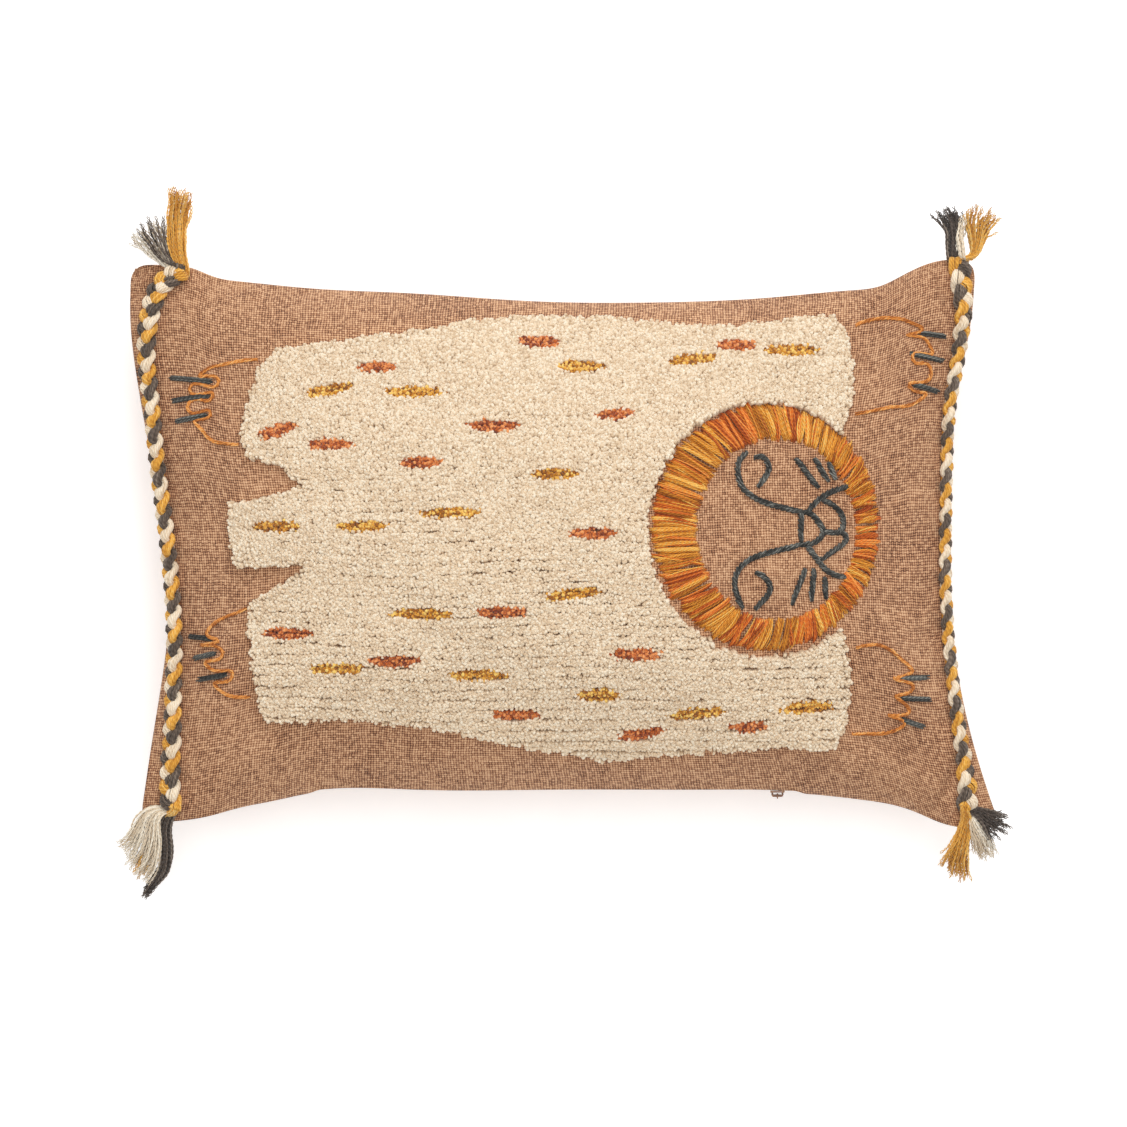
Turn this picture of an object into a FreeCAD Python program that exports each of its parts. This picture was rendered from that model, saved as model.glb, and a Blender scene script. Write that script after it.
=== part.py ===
"""Stuffed oblong throw pillow lying on its back: a two-panel cover with a tufted lion on the
front, a yarn mane, embroidered face and paws, a braid down each side with fringed ends, a
zip in the long seam, and a loose inner pad. Millimetres, +Z up through the front panel, +X
along the long side, origin at the centre of the flat patch that the pillow rests on."""

import FreeCAD, Part
import math
import os
from FreeCAD import Vector

# Cover: a 24 x 16 inch (610 x 406 mm) lumbar cover, drawn in by its filling.
SEAM_Z = 66.0          # height of the seam between the two panels
RISE = 74.0            # crown of each panel from the seam; the back one flattens at z = 0
PUFF = 0.7             # 1 would be a paraboloid; lower is fuller
CLOTH = 1.2            # thickness of the cover cloth
CREST_STEPS = (22, 16)  # grid over which each panel's surface is interpolated
PANEL_HALVES = (285.0, 173.0)  # half sizes that the gaps inside a panel are scaled by
STOCK = 900.0          # side of the blocks that cut or bound a shape, larger than the pillow

# Plan of the seam, each edge from its left or lower corner.
LOWER_EDGE = [(-292, -194), (-262, -190), (-230, -187), (-202, -180), (-172, -174), (-100, -173.5),
              (0, -173.5), (100, -173.5), (168, -174.5), (206, -179), (240, -185), (311, -197)]
UPPER_EDGE = [(-298, 198), (-244, 192), (-174, 182), (-103, 177), (-19, 171.5), (65, 170.5),
              (150, 174), (206, 179), (250, 190), (294, 199)]
LEFT_EDGE = [(-292, -194), (-285, -140), (-275, -75), (-272, -30), (-277, 20), (-286, 65),
             (-295, 115), (-300, 160), (-298, 198)]
RIGHT_EDGE = [(311, -197), (294, -144), (281, -85), (275, -30), (275, 40), (278, 85), (285, 125),
              (292, 165), (294, 199)]

# Inner pad: its lining, and how far it stops short of the cover.
LINING = 0.8
PAD_SIDE_GAP = 6.0
PAD_UPPER_GAP = 6.0
PAD_ZIP_GAP = 16.0
PAD_SKIN_GAP = 2.2
FILLING_GAP = 0.3

# Pattern of the front: the crown of the filled panel draws it in towards the centre.
MOTIF_SHARE = 0.986
PAW_SHARE = 0.992

# Tufted lion: cut-pile outline, a round notch for the head, and coloured dashes in the rows.
TRIM_GAP = 0.7         # every trim stands this far off the cover so that the solids stay apart
PILE_HEIGHT = 7.0
PILE_OUTLINE = [(-197, 137), (-176, 140), (-88, 150), (-67, 155), (-12, 159), (52, 157), (100, 152),
                (129, 153), (171, 158), (195, 160), (203, 151), (209, 128), (206, 95), (201, 86),
                (201, -65), (207, -91), (203, -128), (195, -144), (160, -141), (129, -144),
                (81, -146), (30, -150), (-12, -142), (-48, -136), (-82, -128), (-146, -122),
                (-205, -124), (-210, -113), (-215, -77), (-217, -55), (-214, -41), (-179, -20),
                (-176, -13), (-226, -15), (-230, 14), (-229, 22), (-216, 30), (-181, 39),
                (-180, 43), (-195, 57), (-217, 61), (-222, 77), (-215, 105), (-210, 123)]
NOTCH_CENTRE = (145, 10.5)
NOTCH_RADII = (82.5, 88.5)
DASH_HALF_HEIGHT = 3.8
DASH_SHOULDER = 0.6    # share of a dash's half length at which its ends begin to taper
DASH_GAP = 0.4
RUST_DASHES = [(-13, 141, 31, 0), (-127, 124, 28, 0), (-44, 82, 37, 0), (-95, 57, 28, 0),
               (-196, 80, 30, 18), (-158, 70, 32, 0), (41, 90, 27, 4), (26, 8, 32, 0),
               (-189, -62, 35, 0), (-113, -81, 34, 0), (-39, -47, 35, 0), (56, -76, 35, 0),
               (-29, -118, 35, 0), (59, -131, 32, 8), (127, 139, 27, 0), (135, -127, 27, 0)]
OCHRE_DASHES = [(-160, 108, 32, 10), (-100, 106, 42, 0), (17, 124, 32, 0), (96, 129, 35, 5),
                (165, 136, 37, 0), (-1, 49, 32, 0), (-74, 22, 42, 0), (-135, 13, 37, 0),
                (-196, 13, 32, 0), (-94, -48, 44, 0), (11, -34, 41, 8), (-154, -86, 39, 0),
                (-56, -90, 42, 0), (29, -104, 31, 0), (99, -117, 42, 4), (176, -114, 37, 5)]

# Mane: a ring of laid yarn, ochre and rust in turn.
MANE_CENTRE = (145.2, 12.5)
MANE_RADII = (79, 84.9)
FACE_CENTRE = (152.9, 10.5)
FACE_RADII = (55.5, 62.5)
MANE_HEIGHT = 5.0
MANE_SECTORS = 26
MANE_GAP_DEG = 0.5
ARC_STEPS = 4

# Embroidered lines.
FACE_LINE = 3.9
PAW_LINE = 2.3
CLAW_LINE = 3.6
BROWS_AND_EYES = [
    [(134, 65), (128, 59), (127, 51), (130, 41), (141, 32), (155, 27), (168, 24.5)],
    [(139, 62), (144, 62), (149, 55), (146, 47), (141, 41)],
    [(130.5, -42.5), (126, -34), (125, -24), (130, -14.5), (141, -8), (155, -4), (167, -1)],
    [(140, -19), (146, -23), (150, -30.5), (146, -38), (139, -45)]]
NOSE_AND_MOUTH = [
    [(172, 23), (171.5, 1)],
    [(172, 23), (176, 23), (185, 15), (187.5, 10), (182, 2), (172, 0)],
    [(176, 23), (186, 33), (199, 39.5)],
    [(176, -0.5), (183, -10), (191.5, -19), (198, -21)],
    [(187.5, 32), (197, 26), (202, 16), (200, 10), (187.5, 10)],
    [(200, 10), (204, 5), (196, -3.5), (186, -10)]]
WHISKERS = [
    [(168.5, 60), (182, 41)], [(182, 58), (189, 46)], [(190.5, 53), (194, 45)],
    [(175, -17), (165, -42)], [(181, -17), (179, -39)], [(188, -26), (187, -35)]]
PAWS = {
    "upper_left": [(-211, 130), (-221, 129.5), (-237, 126.5), (-246, 124), (-252, 119),
                   (-240, 118), (-238, 115), (-240, 112), (-257, 113), (-259, 110),
                   (-257, 106.5), (-242, 106), (-243.5, 102.5), (-254, 102.5), (-259, 100),
                   (-260, 97), (-258, 93), (-244, 93.5), (-244, 91), (-255, 87),
                   (-251, 82), (-242, 73), (-236, 71.5), (-224, 70)],
    "lower_left": [(-218, -45), (-228, -49), (-241, -55.5), (-246, -64), (-238, -67.5),
                   (-251, -71), (-239, -72), (-235, -77), (-238, -80.5), (-247.5, -83),
                   (-242.5, -88), (-228, -90), (-230, -95), (-241, -97.5), (-235, -104),
                   (-225, -107), (-216, -107)],
    "upper_right": [(211, 155), (216, 157), (231, 160), (244, 159), (252, 156), (258, 152),
                    (247, 148), (259, 146), (263, 141), (265, 135), (251, 134), (252, 129),
                    (261, 128), (263, 118), (256, 114.5), (248, 113), (251, 109), (260, 107),
                    (252, 100), (236.5, 97), (221, 94), (210, 92)],
    "lower_right": [(210, -72), (228.5, -71), (237, -76), (245, -83), (250, -89), (237, -94),
                    (246, -96.5), (251, -100), (248.5, -103.5), (238.5, -106.5), (246, -113),
                    (248, -118), (233.5, -120), (245, -125.5), (238.5, -130.5), (221, -133),
                    (208, -133)]}
CLAWS = {
    "upper_left": [[(-273, 118), (-243, 115)], [(-272, 101.5), (-245, 105)],
                   [(-269, 87), (-247, 91)]],
    "lower_left": [[(-259.5, -64.5), (-245, -66)], [(-257, -80.5), (-241, -76.5)],
                   [(-253, -95), (-233, -91.5)]],
    "upper_right": [[(256, 148.5), (271, 148)], [(251, 133), (270, 130)],
                    [(253, 112), (268, 108)]],
    "lower_right": [[(241, -94), (262, -93.5)], [(242, -108), (264, -109)],
                    [(243, -123), (259, -128.5)]]}
CLAW_CLEARANCE = 0.4

# Braids: centre lines in plan, from the upper fringe to the lower fringe.
BRAID_LINES = {
    "left": [(-268, 191), (-276, 185), (-285, 171), (-289, 153), (-289.5, 130), (-286, 102),
             (-282, 67), (-278, 32), (-273.5, -4), (-270, -40), (-269, -75), (-270.5, -112),
             (-272.5, -148), (-274, -170), (-274, -184)],
    "right": [(281.5, 194), (286, 182), (288, 164), (285.5, 143), (280, 116), (275, 84),
              (272, 50), (271, 14), (271.5, -22), (274, -58), (280, -100), (287, -150),
              (290, -170), (289.5, -184)]}
STRAND_RADIUS = 1.85
STRAND_SWAY = 5.1      # half of the sideways travel of a strand's centre
STRAND_LIFT = 3.6      # half of its travel over and under
BRAID_PERIOD = 30.0
BRAID_STAND_OFF = 6.8  # braid's centre above the cover
BRAID_FOOT = 4.5       # the braid rests on the cover this far inside its own line
BRAID_BEATS = 6        # bends of a strand in one period
STRAND_ORDER = ("cream", "ochre", "charcoal")
BEND_SHARE = 0.4       # share of the shorter run that each bend takes up
STRAIGHT = 1e-3        # turns below this angle, in radians, need no bend

# Fringes: root and tip, with z counted from the seam, and half width of the tip. Each bunch
# is the free end of one strand.
FRINGE_ROOT = 2.4
FRINGE_THICK = 2.2
FRINGES = {
    "upper_left": {"charcoal": ((-270, 201, 0), (-287, 228, -16), 11),
                   "cream": ((-273, 199, 6), (-283, 228, 0), 12),
                   "ochre": ((-262, 200, 3), (-262, 248, -14), 9)},
    "upper_right": {"charcoal": ((276, 205, 0), (271, 239, -16), 8),
                    "cream": ((282, 205, 5), (288, 232, -6), 4),
                    "ochre": ((288, 203, 0), (303, 232, -16), 12)},
    "lower_left": {"cream": ((-278, -193, 6), (-292, -219, -8), 14),
                   "charcoal": ((-270, -195, 1), (-283, -245, -22), 7),
                   "ochre": ((-276, -196, -2), (-285, -226, -22), 5)},
    "lower_right": {"charcoal": ((295, -190, 8), (313, -203, 5), 8),
                    "cream": ((292, -195, 3), (303, -220, -12), 8),
                    "ochre": ((286, -195, 6), (281, -232, -14), 9)}}

# Zip in the lower long seam; the slider is closed at the right-hand end.
CHAIN_Y = -168.1       # middle of the coils
CHAIN_HALF = 166.0
SLOT_HALF_HEIGHT = 4.6
SLOT_HALF_LENGTH = 170.0
SLOT_DEPTH = 16.0
SLOT_OVERRUN = 20.0    # the slot's cut starts this far outside the coils
TAPE_THICK = 0.6
TAPE_GAP = 0.3         # between each tape and the cloth that it is sewn to
TAPE_SEAM_GAP = 0.84   # from the seam plane to each tape
TAPE_WIDTH = 13.0
TAPE_HALF_LENGTH = 176.0
TAPE_Y = (-200.0, -120.0)  # stretch of the panels in which the tapes lie
COIL_GAP = 0.7         # from the seam plane to each coil
COIL_WIDTH = 1.9
COIL_DEPTH = 2.4
COIL_ROUND = 0.6
STOP_LENGTH = 3.0
STOP_GAP = 0.2         # from a stop to the coils, and from a top stop to the seam plane
SLIDER_FACE_Y = -172.6  # inner face of the slider's outer plate, just outside the tape
SLIDER_LENGTH = 10.0
SLIDER_WIDTH = 7.8
SLIDER_X = 155.0
SLIDER_PLATE = 1.4
SLIDER_CLEARANCE = 0.4
INNER_PLATE_ROUND = 1.0
OUTER_PLATE_ROUND = 2.0
POST_HALF = 0.4
POST_ENDS = (4.0, 1.0)  # where the post starts and stops, from the slider's closing end
POST_ROOT = 0.2        # depth to which the post is set into the plates
BRIDGE_BAR = 0.7
BRIDGE_HALF = 3.6
BRIDGE_REACH = 3.2
BRIDGE_ROOT = 0.3      # depth to which the bridge is set into the outer plate
PULL_RING_INNER = 1.0
PULL_RING_WIRE = 0.5
PULL_LENGTH = 24.0
PULL_WIDTH = 6.0
PULL_THICK = 1.5
PULL_END_FLAT = 0.05   # half width left flat at the pull's round end
PULL_SHOULDER = 0.6    # and at its ring end
SAME_LENGTH = 0.01     # edges this close in length are taken as the same


def save(shape, name):
    """Writes one sub-part."""
    shape.exportStep(os.path.join("parts", name + ".step"))


def edge_curve(points):
    """Smooth plan curve through one edge's points."""
    curve = Part.BSplineCurve()
    curve.interpolate([Vector(x, y, 0) for x, y in points])
    return curve


EDGES = [edge_curve(points) for points in (LOWER_EDGE, UPPER_EDGE, LEFT_EDGE, RIGHT_EDGE)]


def on_edge(curve, share):
    """Point at a share, 0 to 1, of an edge curve's parameter range."""
    first = curve.FirstParameter
    return curve.value(first + share * (curve.LastParameter - first))


def plan_point(u, v):
    """Plan position of cloth coordinates u and v, each -1 to 1, spanned between the edges."""
    a = (u + 1) / 2
    b = (v + 1) / 2
    lower, upper, left, right = EDGES
    across = on_edge(lower, a) * (1 - b) + on_edge(upper, a) * b
    along = on_edge(left, b) * (1 - a) + on_edge(right, b) * a
    corners = (on_edge(lower, 0) * ((1 - a) * (1 - b)) + on_edge(lower, 1) * (a * (1 - b))
               + on_edge(upper, 0) * ((1 - a) * b) + on_edge(upper, 1) * (a * b))
    return across + along - corners


def crown(u, v):
    """Height of a panel at cloth coordinates u and v, as a share of its crown."""
    return max(0.0, (1 - u * u) * (1 - v * v)) ** PUFF


def lens(rise, gap_x=0.0, gap_upper=0.0, gap_lower=0.0):
    """Solid between the seam plane and a crowned surface, drawn in by a gap at each side."""
    half_x, half_y = PANEL_HALVES
    scale_x = 1 - gap_x / half_x
    scale_y = 1 - (gap_upper + gap_lower) / (2 * half_y)
    shift_y = (gap_lower - gap_upper) / 2
    nu, nv = CREST_STEPS
    rows = []
    for i in range(nu + 1):
        u = math.sin(math.pi / 2 * (2 * i / nu - 1))
        row = []
        for j in range(nv + 1):
            v = math.sin(math.pi / 2 * (2 * j / nv - 1))
            p = plan_point(u, v)
            rim = i in (0, nu) or j in (0, nv)
            height = 0.0 if rim else rise * crown(u, v)
            row.append(Vector(p.x * scale_x, p.y * scale_y + shift_y, SEAM_Z + height))
        rows.append(row)
    surface = Part.BSplineSurface()
    surface.interpolate(rows)
    crest = surface.toShape()
    base = Part.Face(Part.Wire(Part.__sortEdges__(crest.Edges)))
    solid = Part.Solid(Part.Shell([crest, base]))
    if solid.Volume < 0:
        solid.reverse()
    return solid


def turned_over(solid):
    """The solid mirrored in the seam plane, as the back half of the pillow."""
    return solid.mirror(Vector(0, 0, SEAM_Z), Vector(0, 0, 1))


def floor_cut(solid, height):
    """The solid without what lies below a height."""
    box = Part.makeBox(STOCK, STOCK, STOCK, Vector(-STOCK / 2, -STOCK / 2, height))
    return solid.common(box)


def seam_slot():
    """Opening between the panels' lips along the zip."""
    low = Vector(-SLOT_HALF_LENGTH, CHAIN_Y - SLOT_OVERRUN, SEAM_Z - SLOT_HALF_HEIGHT)
    return Part.makeBox(2 * SLOT_HALF_LENGTH, SLOT_OVERRUN + SLOT_DEPTH, 2 * SLOT_HALF_HEIGHT, low)


def make_cover():
    """Front and back panels, which meet face to face in the seam plane."""
    slot = seam_slot()
    outer = lens(RISE)
    inner = lens(RISE - CLOTH, CLOTH, CLOTH, CLOTH)
    front = outer.cut(inner).cut(slot)
    back = floor_cut(turned_over(outer), 0.0).cut(floor_cut(turned_over(inner), CLOTH)).cut(slot)
    save(front, "front_panel")
    save(back, "back_panel")


def pad(extra):
    """Closed pad shape, drawn in by the gaps of the inner pad and a further amount."""
    gaps = (PAD_SIDE_GAP + extra, PAD_UPPER_GAP + extra, PAD_ZIP_GAP + extra)
    skin = PAD_SKIN_GAP + CLOTH + extra
    front = lens(RISE - skin, *gaps)
    back = floor_cut(turned_over(front), skin)
    return front.fuse(back)


def make_insert():
    """Lining and filling of the loose inner pad."""
    fill = pad(LINING)
    lining = pad(0.0).cut(fill)
    save(lining, "insert_lining")
    save(pad(LINING + FILLING_GAP), "insert_filling")


def drawn_in(points, share):
    """Pattern points as the filled panel holds them."""
    return [(x * share, y * share) for x, y in points]


def polygon(points):
    """Flat face from plan points."""
    loop = [Vector(x, y, 0) for x, y in points]
    return Part.Face(Part.makePolygon(loop + loop[:1]))


def ellipse(centre, radii, grow=0.0):
    """Flat elliptical face."""
    rx, ry = radii[0] + grow, radii[1] + grow
    middle = Vector(centre[0], centre[1], 0)
    if ry > rx:
        curve = Part.Ellipse(middle + Vector(0, ry, 0), middle + Vector(-rx, 0, 0), middle)
    else:
        curve = Part.Ellipse(middle + Vector(rx, 0, 0), middle + Vector(0, ry, 0), middle)
    return Part.Face(Part.Wire(curve.toShape()))


def dash(x, y, width, tilt, grow=0.0):
    """Flat lozenge of one coloured dash."""
    half = width / 2 + grow
    high = DASH_HALF_HEIGHT + grow
    flat = half * DASH_SHOULDER
    face = polygon([(-half, 0), (-flat, high), (flat, high), (half, 0), (flat, -high), (-flat, -high)])
    face.rotate(Vector(0, 0, 0), Vector(0, 0, 1), tilt)
    face.translate(Vector(x * MOTIF_SHARE, y * MOTIF_SHARE, 0))
    return face


def raised(faces, height):
    """Flat faces turned into solids that lie on the front panel, a trim gap above it."""
    tall = [face.extrude(Vector(0, 0, STOCK)) for face in faces]
    stock = Part.makeCompound(tall)
    top = lens(RISE).translated(Vector(0, 0, TRIM_GAP + height))
    under = lens(RISE).translated(Vector(0, 0, TRIM_GAP))
    return stock.common(top).cut(under)


def make_pile():
    """Cut-pile body of the lion and the coloured dashes set in it."""
    body = polygon(drawn_in(PILE_OUTLINE, MOTIF_SHARE)).cut(ellipse(NOTCH_CENTRE, NOTCH_RADII))
    holes = [dash(*spec, grow=DASH_GAP) for spec in RUST_DASHES + OCHRE_DASHES]
    save(raised([body.cut(holes)], PILE_HEIGHT), "tufted_lion_pile")
    save(raised([dash(*spec) for spec in RUST_DASHES], PILE_HEIGHT), "tufted_dashes_rust")
    save(raised([dash(*spec) for spec in OCHRE_DASHES], PILE_HEIGHT), "tufted_dashes_ochre")


def mane_sector(start, end):
    """Flat piece of the mane ring between two angles in degrees."""
    loop = []
    for centre, radii, order in ((MANE_CENTRE, MANE_RADII, 1), (FACE_CENTRE, FACE_RADII, -1)):
        arc = []
        for i in range(ARC_STEPS + 1):
            angle = math.radians(start + (end - start) * i / ARC_STEPS)
            arc.append((centre[0] + radii[0] * math.cos(angle),
                        centre[1] + radii[1] * math.sin(angle)))
        loop += arc[::order]
    return polygon(loop)


def make_mane():
    """Ring of laid yarn round the face, its two colours in turn."""
    step = 360.0 / MANE_SECTORS
    sectors = [mane_sector(k * step, (k + 1) * step - MANE_GAP_DEG) for k in range(MANE_SECTORS)]
    save(raised(sectors[0::2], MANE_HEIGHT), "mane_yarn_ochre")
    save(raised(sectors[1::2], MANE_HEIGHT), "mane_yarn_rust")


def cloth_coordinates(x, y):
    """Cloth coordinates of a plan position, by Newton steps."""
    u, v = x / PANEL_HALVES[0], y / PANEL_HALVES[1]
    tiny = 1e-4
    limit = 0.999
    rounds = 12
    for _ in range(rounds):
        p = plan_point(u, v)
        pu = (plan_point(u + tiny, v) - p) * (1 / tiny)
        pv = (plan_point(u, v + tiny) - p) * (1 / tiny)
        det = pu.x * pv.y - pu.y * pv.x
        ex, ey = x - p.x, y - p.y
        u += (ex * pv.y - ey * pv.x) / det
        v += (pu.x * ey - pu.y * ex) / det
        u = max(-limit, min(limit, u))
        v = max(-limit, min(limit, v))
    return u, v


def front_height(x, y):
    """Height of the front panel above a plan position."""
    return SEAM_Z + RISE * crown(*cloth_coordinates(x, y))


def front_normal(x, y):
    """Outward direction of the front panel above a plan position."""
    step = 1.0
    slope_x = (front_height(x + step, y) - front_height(x - step, y)) / (2 * step)
    slope_y = (front_height(x, y + step) - front_height(x, y - step)) / (2 * step)
    normal = Vector(-slope_x, -slope_y, 1)
    normal.normalize()
    return normal


def capsule(start, end, radius):
    """Straight round-ended rod."""
    length = (end - start).Length
    lean = radius / math.sqrt(2)
    profile = Part.Wire([
        Part.Arc(Vector(0, 0, -radius), Vector(lean, 0, -lean), Vector(radius, 0, 0)).toShape(),
        Part.LineSegment(Vector(radius, 0, 0), Vector(radius, 0, length)).toShape(),
        Part.Arc(Vector(radius, 0, length), Vector(lean, 0, length + lean),
                 Vector(0, 0, length + radius)).toShape(),
        Part.LineSegment(Vector(0, 0, length + radius), Vector(0, 0, -radius)).toShape()])
    rod = Part.Face(profile).revolve(Vector(0, 0, 0), Vector(0, 0, 1), 360)
    rod.Placement = FreeCAD.Placement(start, FreeCAD.Rotation(Vector(0, 0, 1), end - start))
    return rod


def stitched(points, width):
    """Raised line of thread that follows the front panel through plan points."""
    radius = width / 2
    knots = []
    for x, y in points:
        foot = Vector(x, y, front_height(x, y))
        knots.append(foot + front_normal(x, y) * (radius + TRIM_GAP))
    if len(knots) == 2:
        return capsule(knots[0], knots[1], radius)
    pieces = [Part.makeSphere(radius, knot) for knot in knots]
    for start, end in zip(knots, knots[1:]):
        pieces.append(Part.makeCylinder(radius, (end - start).Length, start, end - start))
    return pieces[0].fuse(pieces[1:])


def make_embroidery():
    """Face, paw outlines and claws as raised lines of thread."""
    mouth = [stitched(drawn_in(line, MOTIF_SHARE), FACE_LINE) for line in NOSE_AND_MOUTH]
    save(mouth[0].fuse(mouth[1:]), "embroidered_nose_and_mouth")
    for name, lines in (("eyes_and_brows", BROWS_AND_EYES), ("whiskers", WHISKERS)):
        solids = [stitched(drawn_in(line, MOTIF_SHARE), FACE_LINE) for line in lines]
        save(Part.makeCompound(solids), "embroidered_" + name)
    for corner, outline in PAWS.items():
        bars = [drawn_in(claw, PAW_SHARE) for claw in CLAWS[corner]]
        claws = [stitched(bar, CLAW_LINE) for bar in bars]
        moats = [stitched(bar, CLAW_LINE + 2 * CLAW_CLEARANCE) for bar in bars]
        save(Part.makeCompound(claws), "claws_" + corner)
        save(stitched(drawn_in(outline, PAW_SHARE), PAW_LINE).cut(moats), "paw_outline_" + corner)


def braid_frames(line):
    """Centre, sideways and outward directions along a braid, at every beat of its period."""
    inward = 1 if line[0][0] < 0 else -1
    knots = []
    for x, y in line:
        foot_x = x + inward * BRAID_FOOT
        normal = front_normal(foot_x, y)
        centre = Vector(foot_x, y, front_height(foot_x, y)) + normal * BRAID_STAND_OFF
        knots.append(centre)
    curve = Part.BSplineCurve()
    curve.interpolate(knots)
    length = curve.length()
    count = int(length * BRAID_BEATS / BRAID_PERIOD)
    frames = []
    for i in range(count + 1):
        t = curve.parameterAtDistance(length * i / count, curve.FirstParameter)
        centre = curve.value(t)
        tangent = curve.tangent(t)[0]
        normal = front_normal(centre.x + inward * BRAID_FOOT, centre.y)
        side = tangent.cross(normal)
        side.normalize()
        frames.append((centre, side, side.cross(tangent)))
    return frames


def rounded_path(points):
    """Straight runs joined by tangent arcs."""
    edges = []
    start = points[0]
    for before, corner, after in zip(points, points[1:], points[2:]):
        run_in = (corner - before).Length
        run_out = (after - corner).Length
        into = (corner - before) * (1 / run_in)
        out = (after - corner) * (1 / run_out)
        turn = into.getAngle(out)
        if turn < STRAIGHT:
            continue
        reach = BEND_SHARE * min(run_in, run_out)
        first = corner - into * reach
        last = corner + out * reach
        bend = out - into
        bend.normalize()
        radius = reach / math.tan(turn / 2)
        sagitta = radius * (1 / math.cos(turn / 2) - 1)
        edges.append(Part.LineSegment(start, first).toShape())
        edges.append(Part.Arc(first, corner + bend * sagitta, last).toShape())
        start = last
    edges.append(Part.LineSegment(start, points[-1]).toShape())
    return Part.Wire(edges)


def tube(path, radius):
    """Round tube along a path of runs and arcs."""
    start = path.Edges[0]
    circle = Part.Wire(Part.makeCircle(radius, start.valueAt(start.FirstParameter),
                                       start.tangentAt(start.FirstParameter)))
    return path.makePipeShell([circle], True, True)


def make_braids():
    """Three strands of each side braid, plaited over and under each other."""
    for side_name, line in BRAID_LINES.items():
        frames = braid_frames(line)
        for k, colour in enumerate(STRAND_ORDER):
            points = []
            for i, (centre, side, normal) in enumerate(frames):
                angle = 2 * math.pi * ((i + 0.5) / BRAID_BEATS + k / len(STRAND_ORDER))
                points.append(centre + side * (STRAND_SWAY * math.sin(angle))
                              + normal * (STRAND_LIFT * math.sin(2 * angle)))
            strand = tube(rounded_path(points), STRAND_RADIUS)
            save(strand, "braid_%s_%s" % (side_name, colour))


def bunch(root, tip, half_width):
    """Tapered fan of yarn from a round root to a wide thin tip."""
    a = Vector(root[0], root[1], SEAM_Z + root[2])
    b = Vector(tip[0], tip[1], SEAM_Z + tip[2])
    along = b - a
    along.normalize()
    wide = Vector(0, 0, 1).cross(along)
    wide.normalize()
    rings = []
    for middle, across in ((a, FRINGE_ROOT), (b, half_width)):
        thick = wide.cross(along) * FRINGE_THICK
        ring = Part.Ellipse(middle + wide * across, middle + thick, middle)
        rings.append(Part.Wire(ring.toShape()))
    return Part.makeLoft(rings, True, True)


def make_fringes():
    """Free yarn ends of every strand at the four corners."""
    for corner, colours in FRINGES.items():
        for colour, spec in colours.items():
            save(bunch(*spec), "fringe_%s_%s" % (corner, colour))


def box_at(x0, x1, y0, y1, z0, z1):
    """Box between two corners, z counted from the seam plane."""
    return Part.makeBox(x1 - x0, y1 - y0, z1 - z0, Vector(x0, y0, SEAM_Z + z0))


def make_zip_chain():
    """Tape and coil of each side, and the stops that end the chain."""
    coil_inner = CHAIN_Y + COIL_DEPTH / 2
    coil_outer = CHAIN_Y - COIL_DEPTH / 2
    lip = CLOTH + TAPE_GAP
    under = lip + TAPE_THICK
    skin = lens(RISE - lip, lip, lip, lip).cut(lens(RISE - under, under, under, under))
    for name, sign, side in (("front", 1, skin), ("back", -1, turned_over(skin))):
        low, high = sorted((sign * TAPE_SEAM_GAP, sign * TAPE_WIDTH))
        window = box_at(-TAPE_HALF_LENGTH, TAPE_HALF_LENGTH, *TAPE_Y, low, high)
        save(side.common(window), "zip_tape_" + name)
        low, high = sorted((sign * COIL_GAP, sign * (COIL_GAP + COIL_WIDTH)))
        coil = box_at(-CHAIN_HALF, CHAIN_HALF, coil_outer, coil_inner, low, high)
        along_x = [edge for edge in coil.Edges if edge.Length > CHAIN_HALF]
        save(coil.makeFillet(COIL_ROUND, along_x), "zip_coil_" + name)
    first = CHAIN_HALF + STOP_GAP
    last = first + STOP_LENGTH
    top = COIL_GAP + COIL_WIDTH
    stops = [box_at(first, last, coil_outer, coil_inner, STOP_GAP, top),
             box_at(first, last, coil_outer, coil_inner, -top, -STOP_GAP)]
    save(Part.makeCompound(stops), "zip_top_stops")
    save(box_at(-last, -first, coil_outer, coil_inner, -top, top), "zip_bottom_stop")


def bridge_y():
    """Y position of the bridge bar that the pull hangs from."""
    return SLIDER_FACE_Y - SLIDER_PLATE - BRIDGE_REACH + BRIDGE_BAR


def rounded_plate(plate, thickness, radius):
    """Plate with its four corner edges rounded."""
    corners = [edge for edge in plate.Edges if abs(edge.Length - thickness) < SAME_LENGTH]
    return plate.makeFillet(radius, corners)


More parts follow.
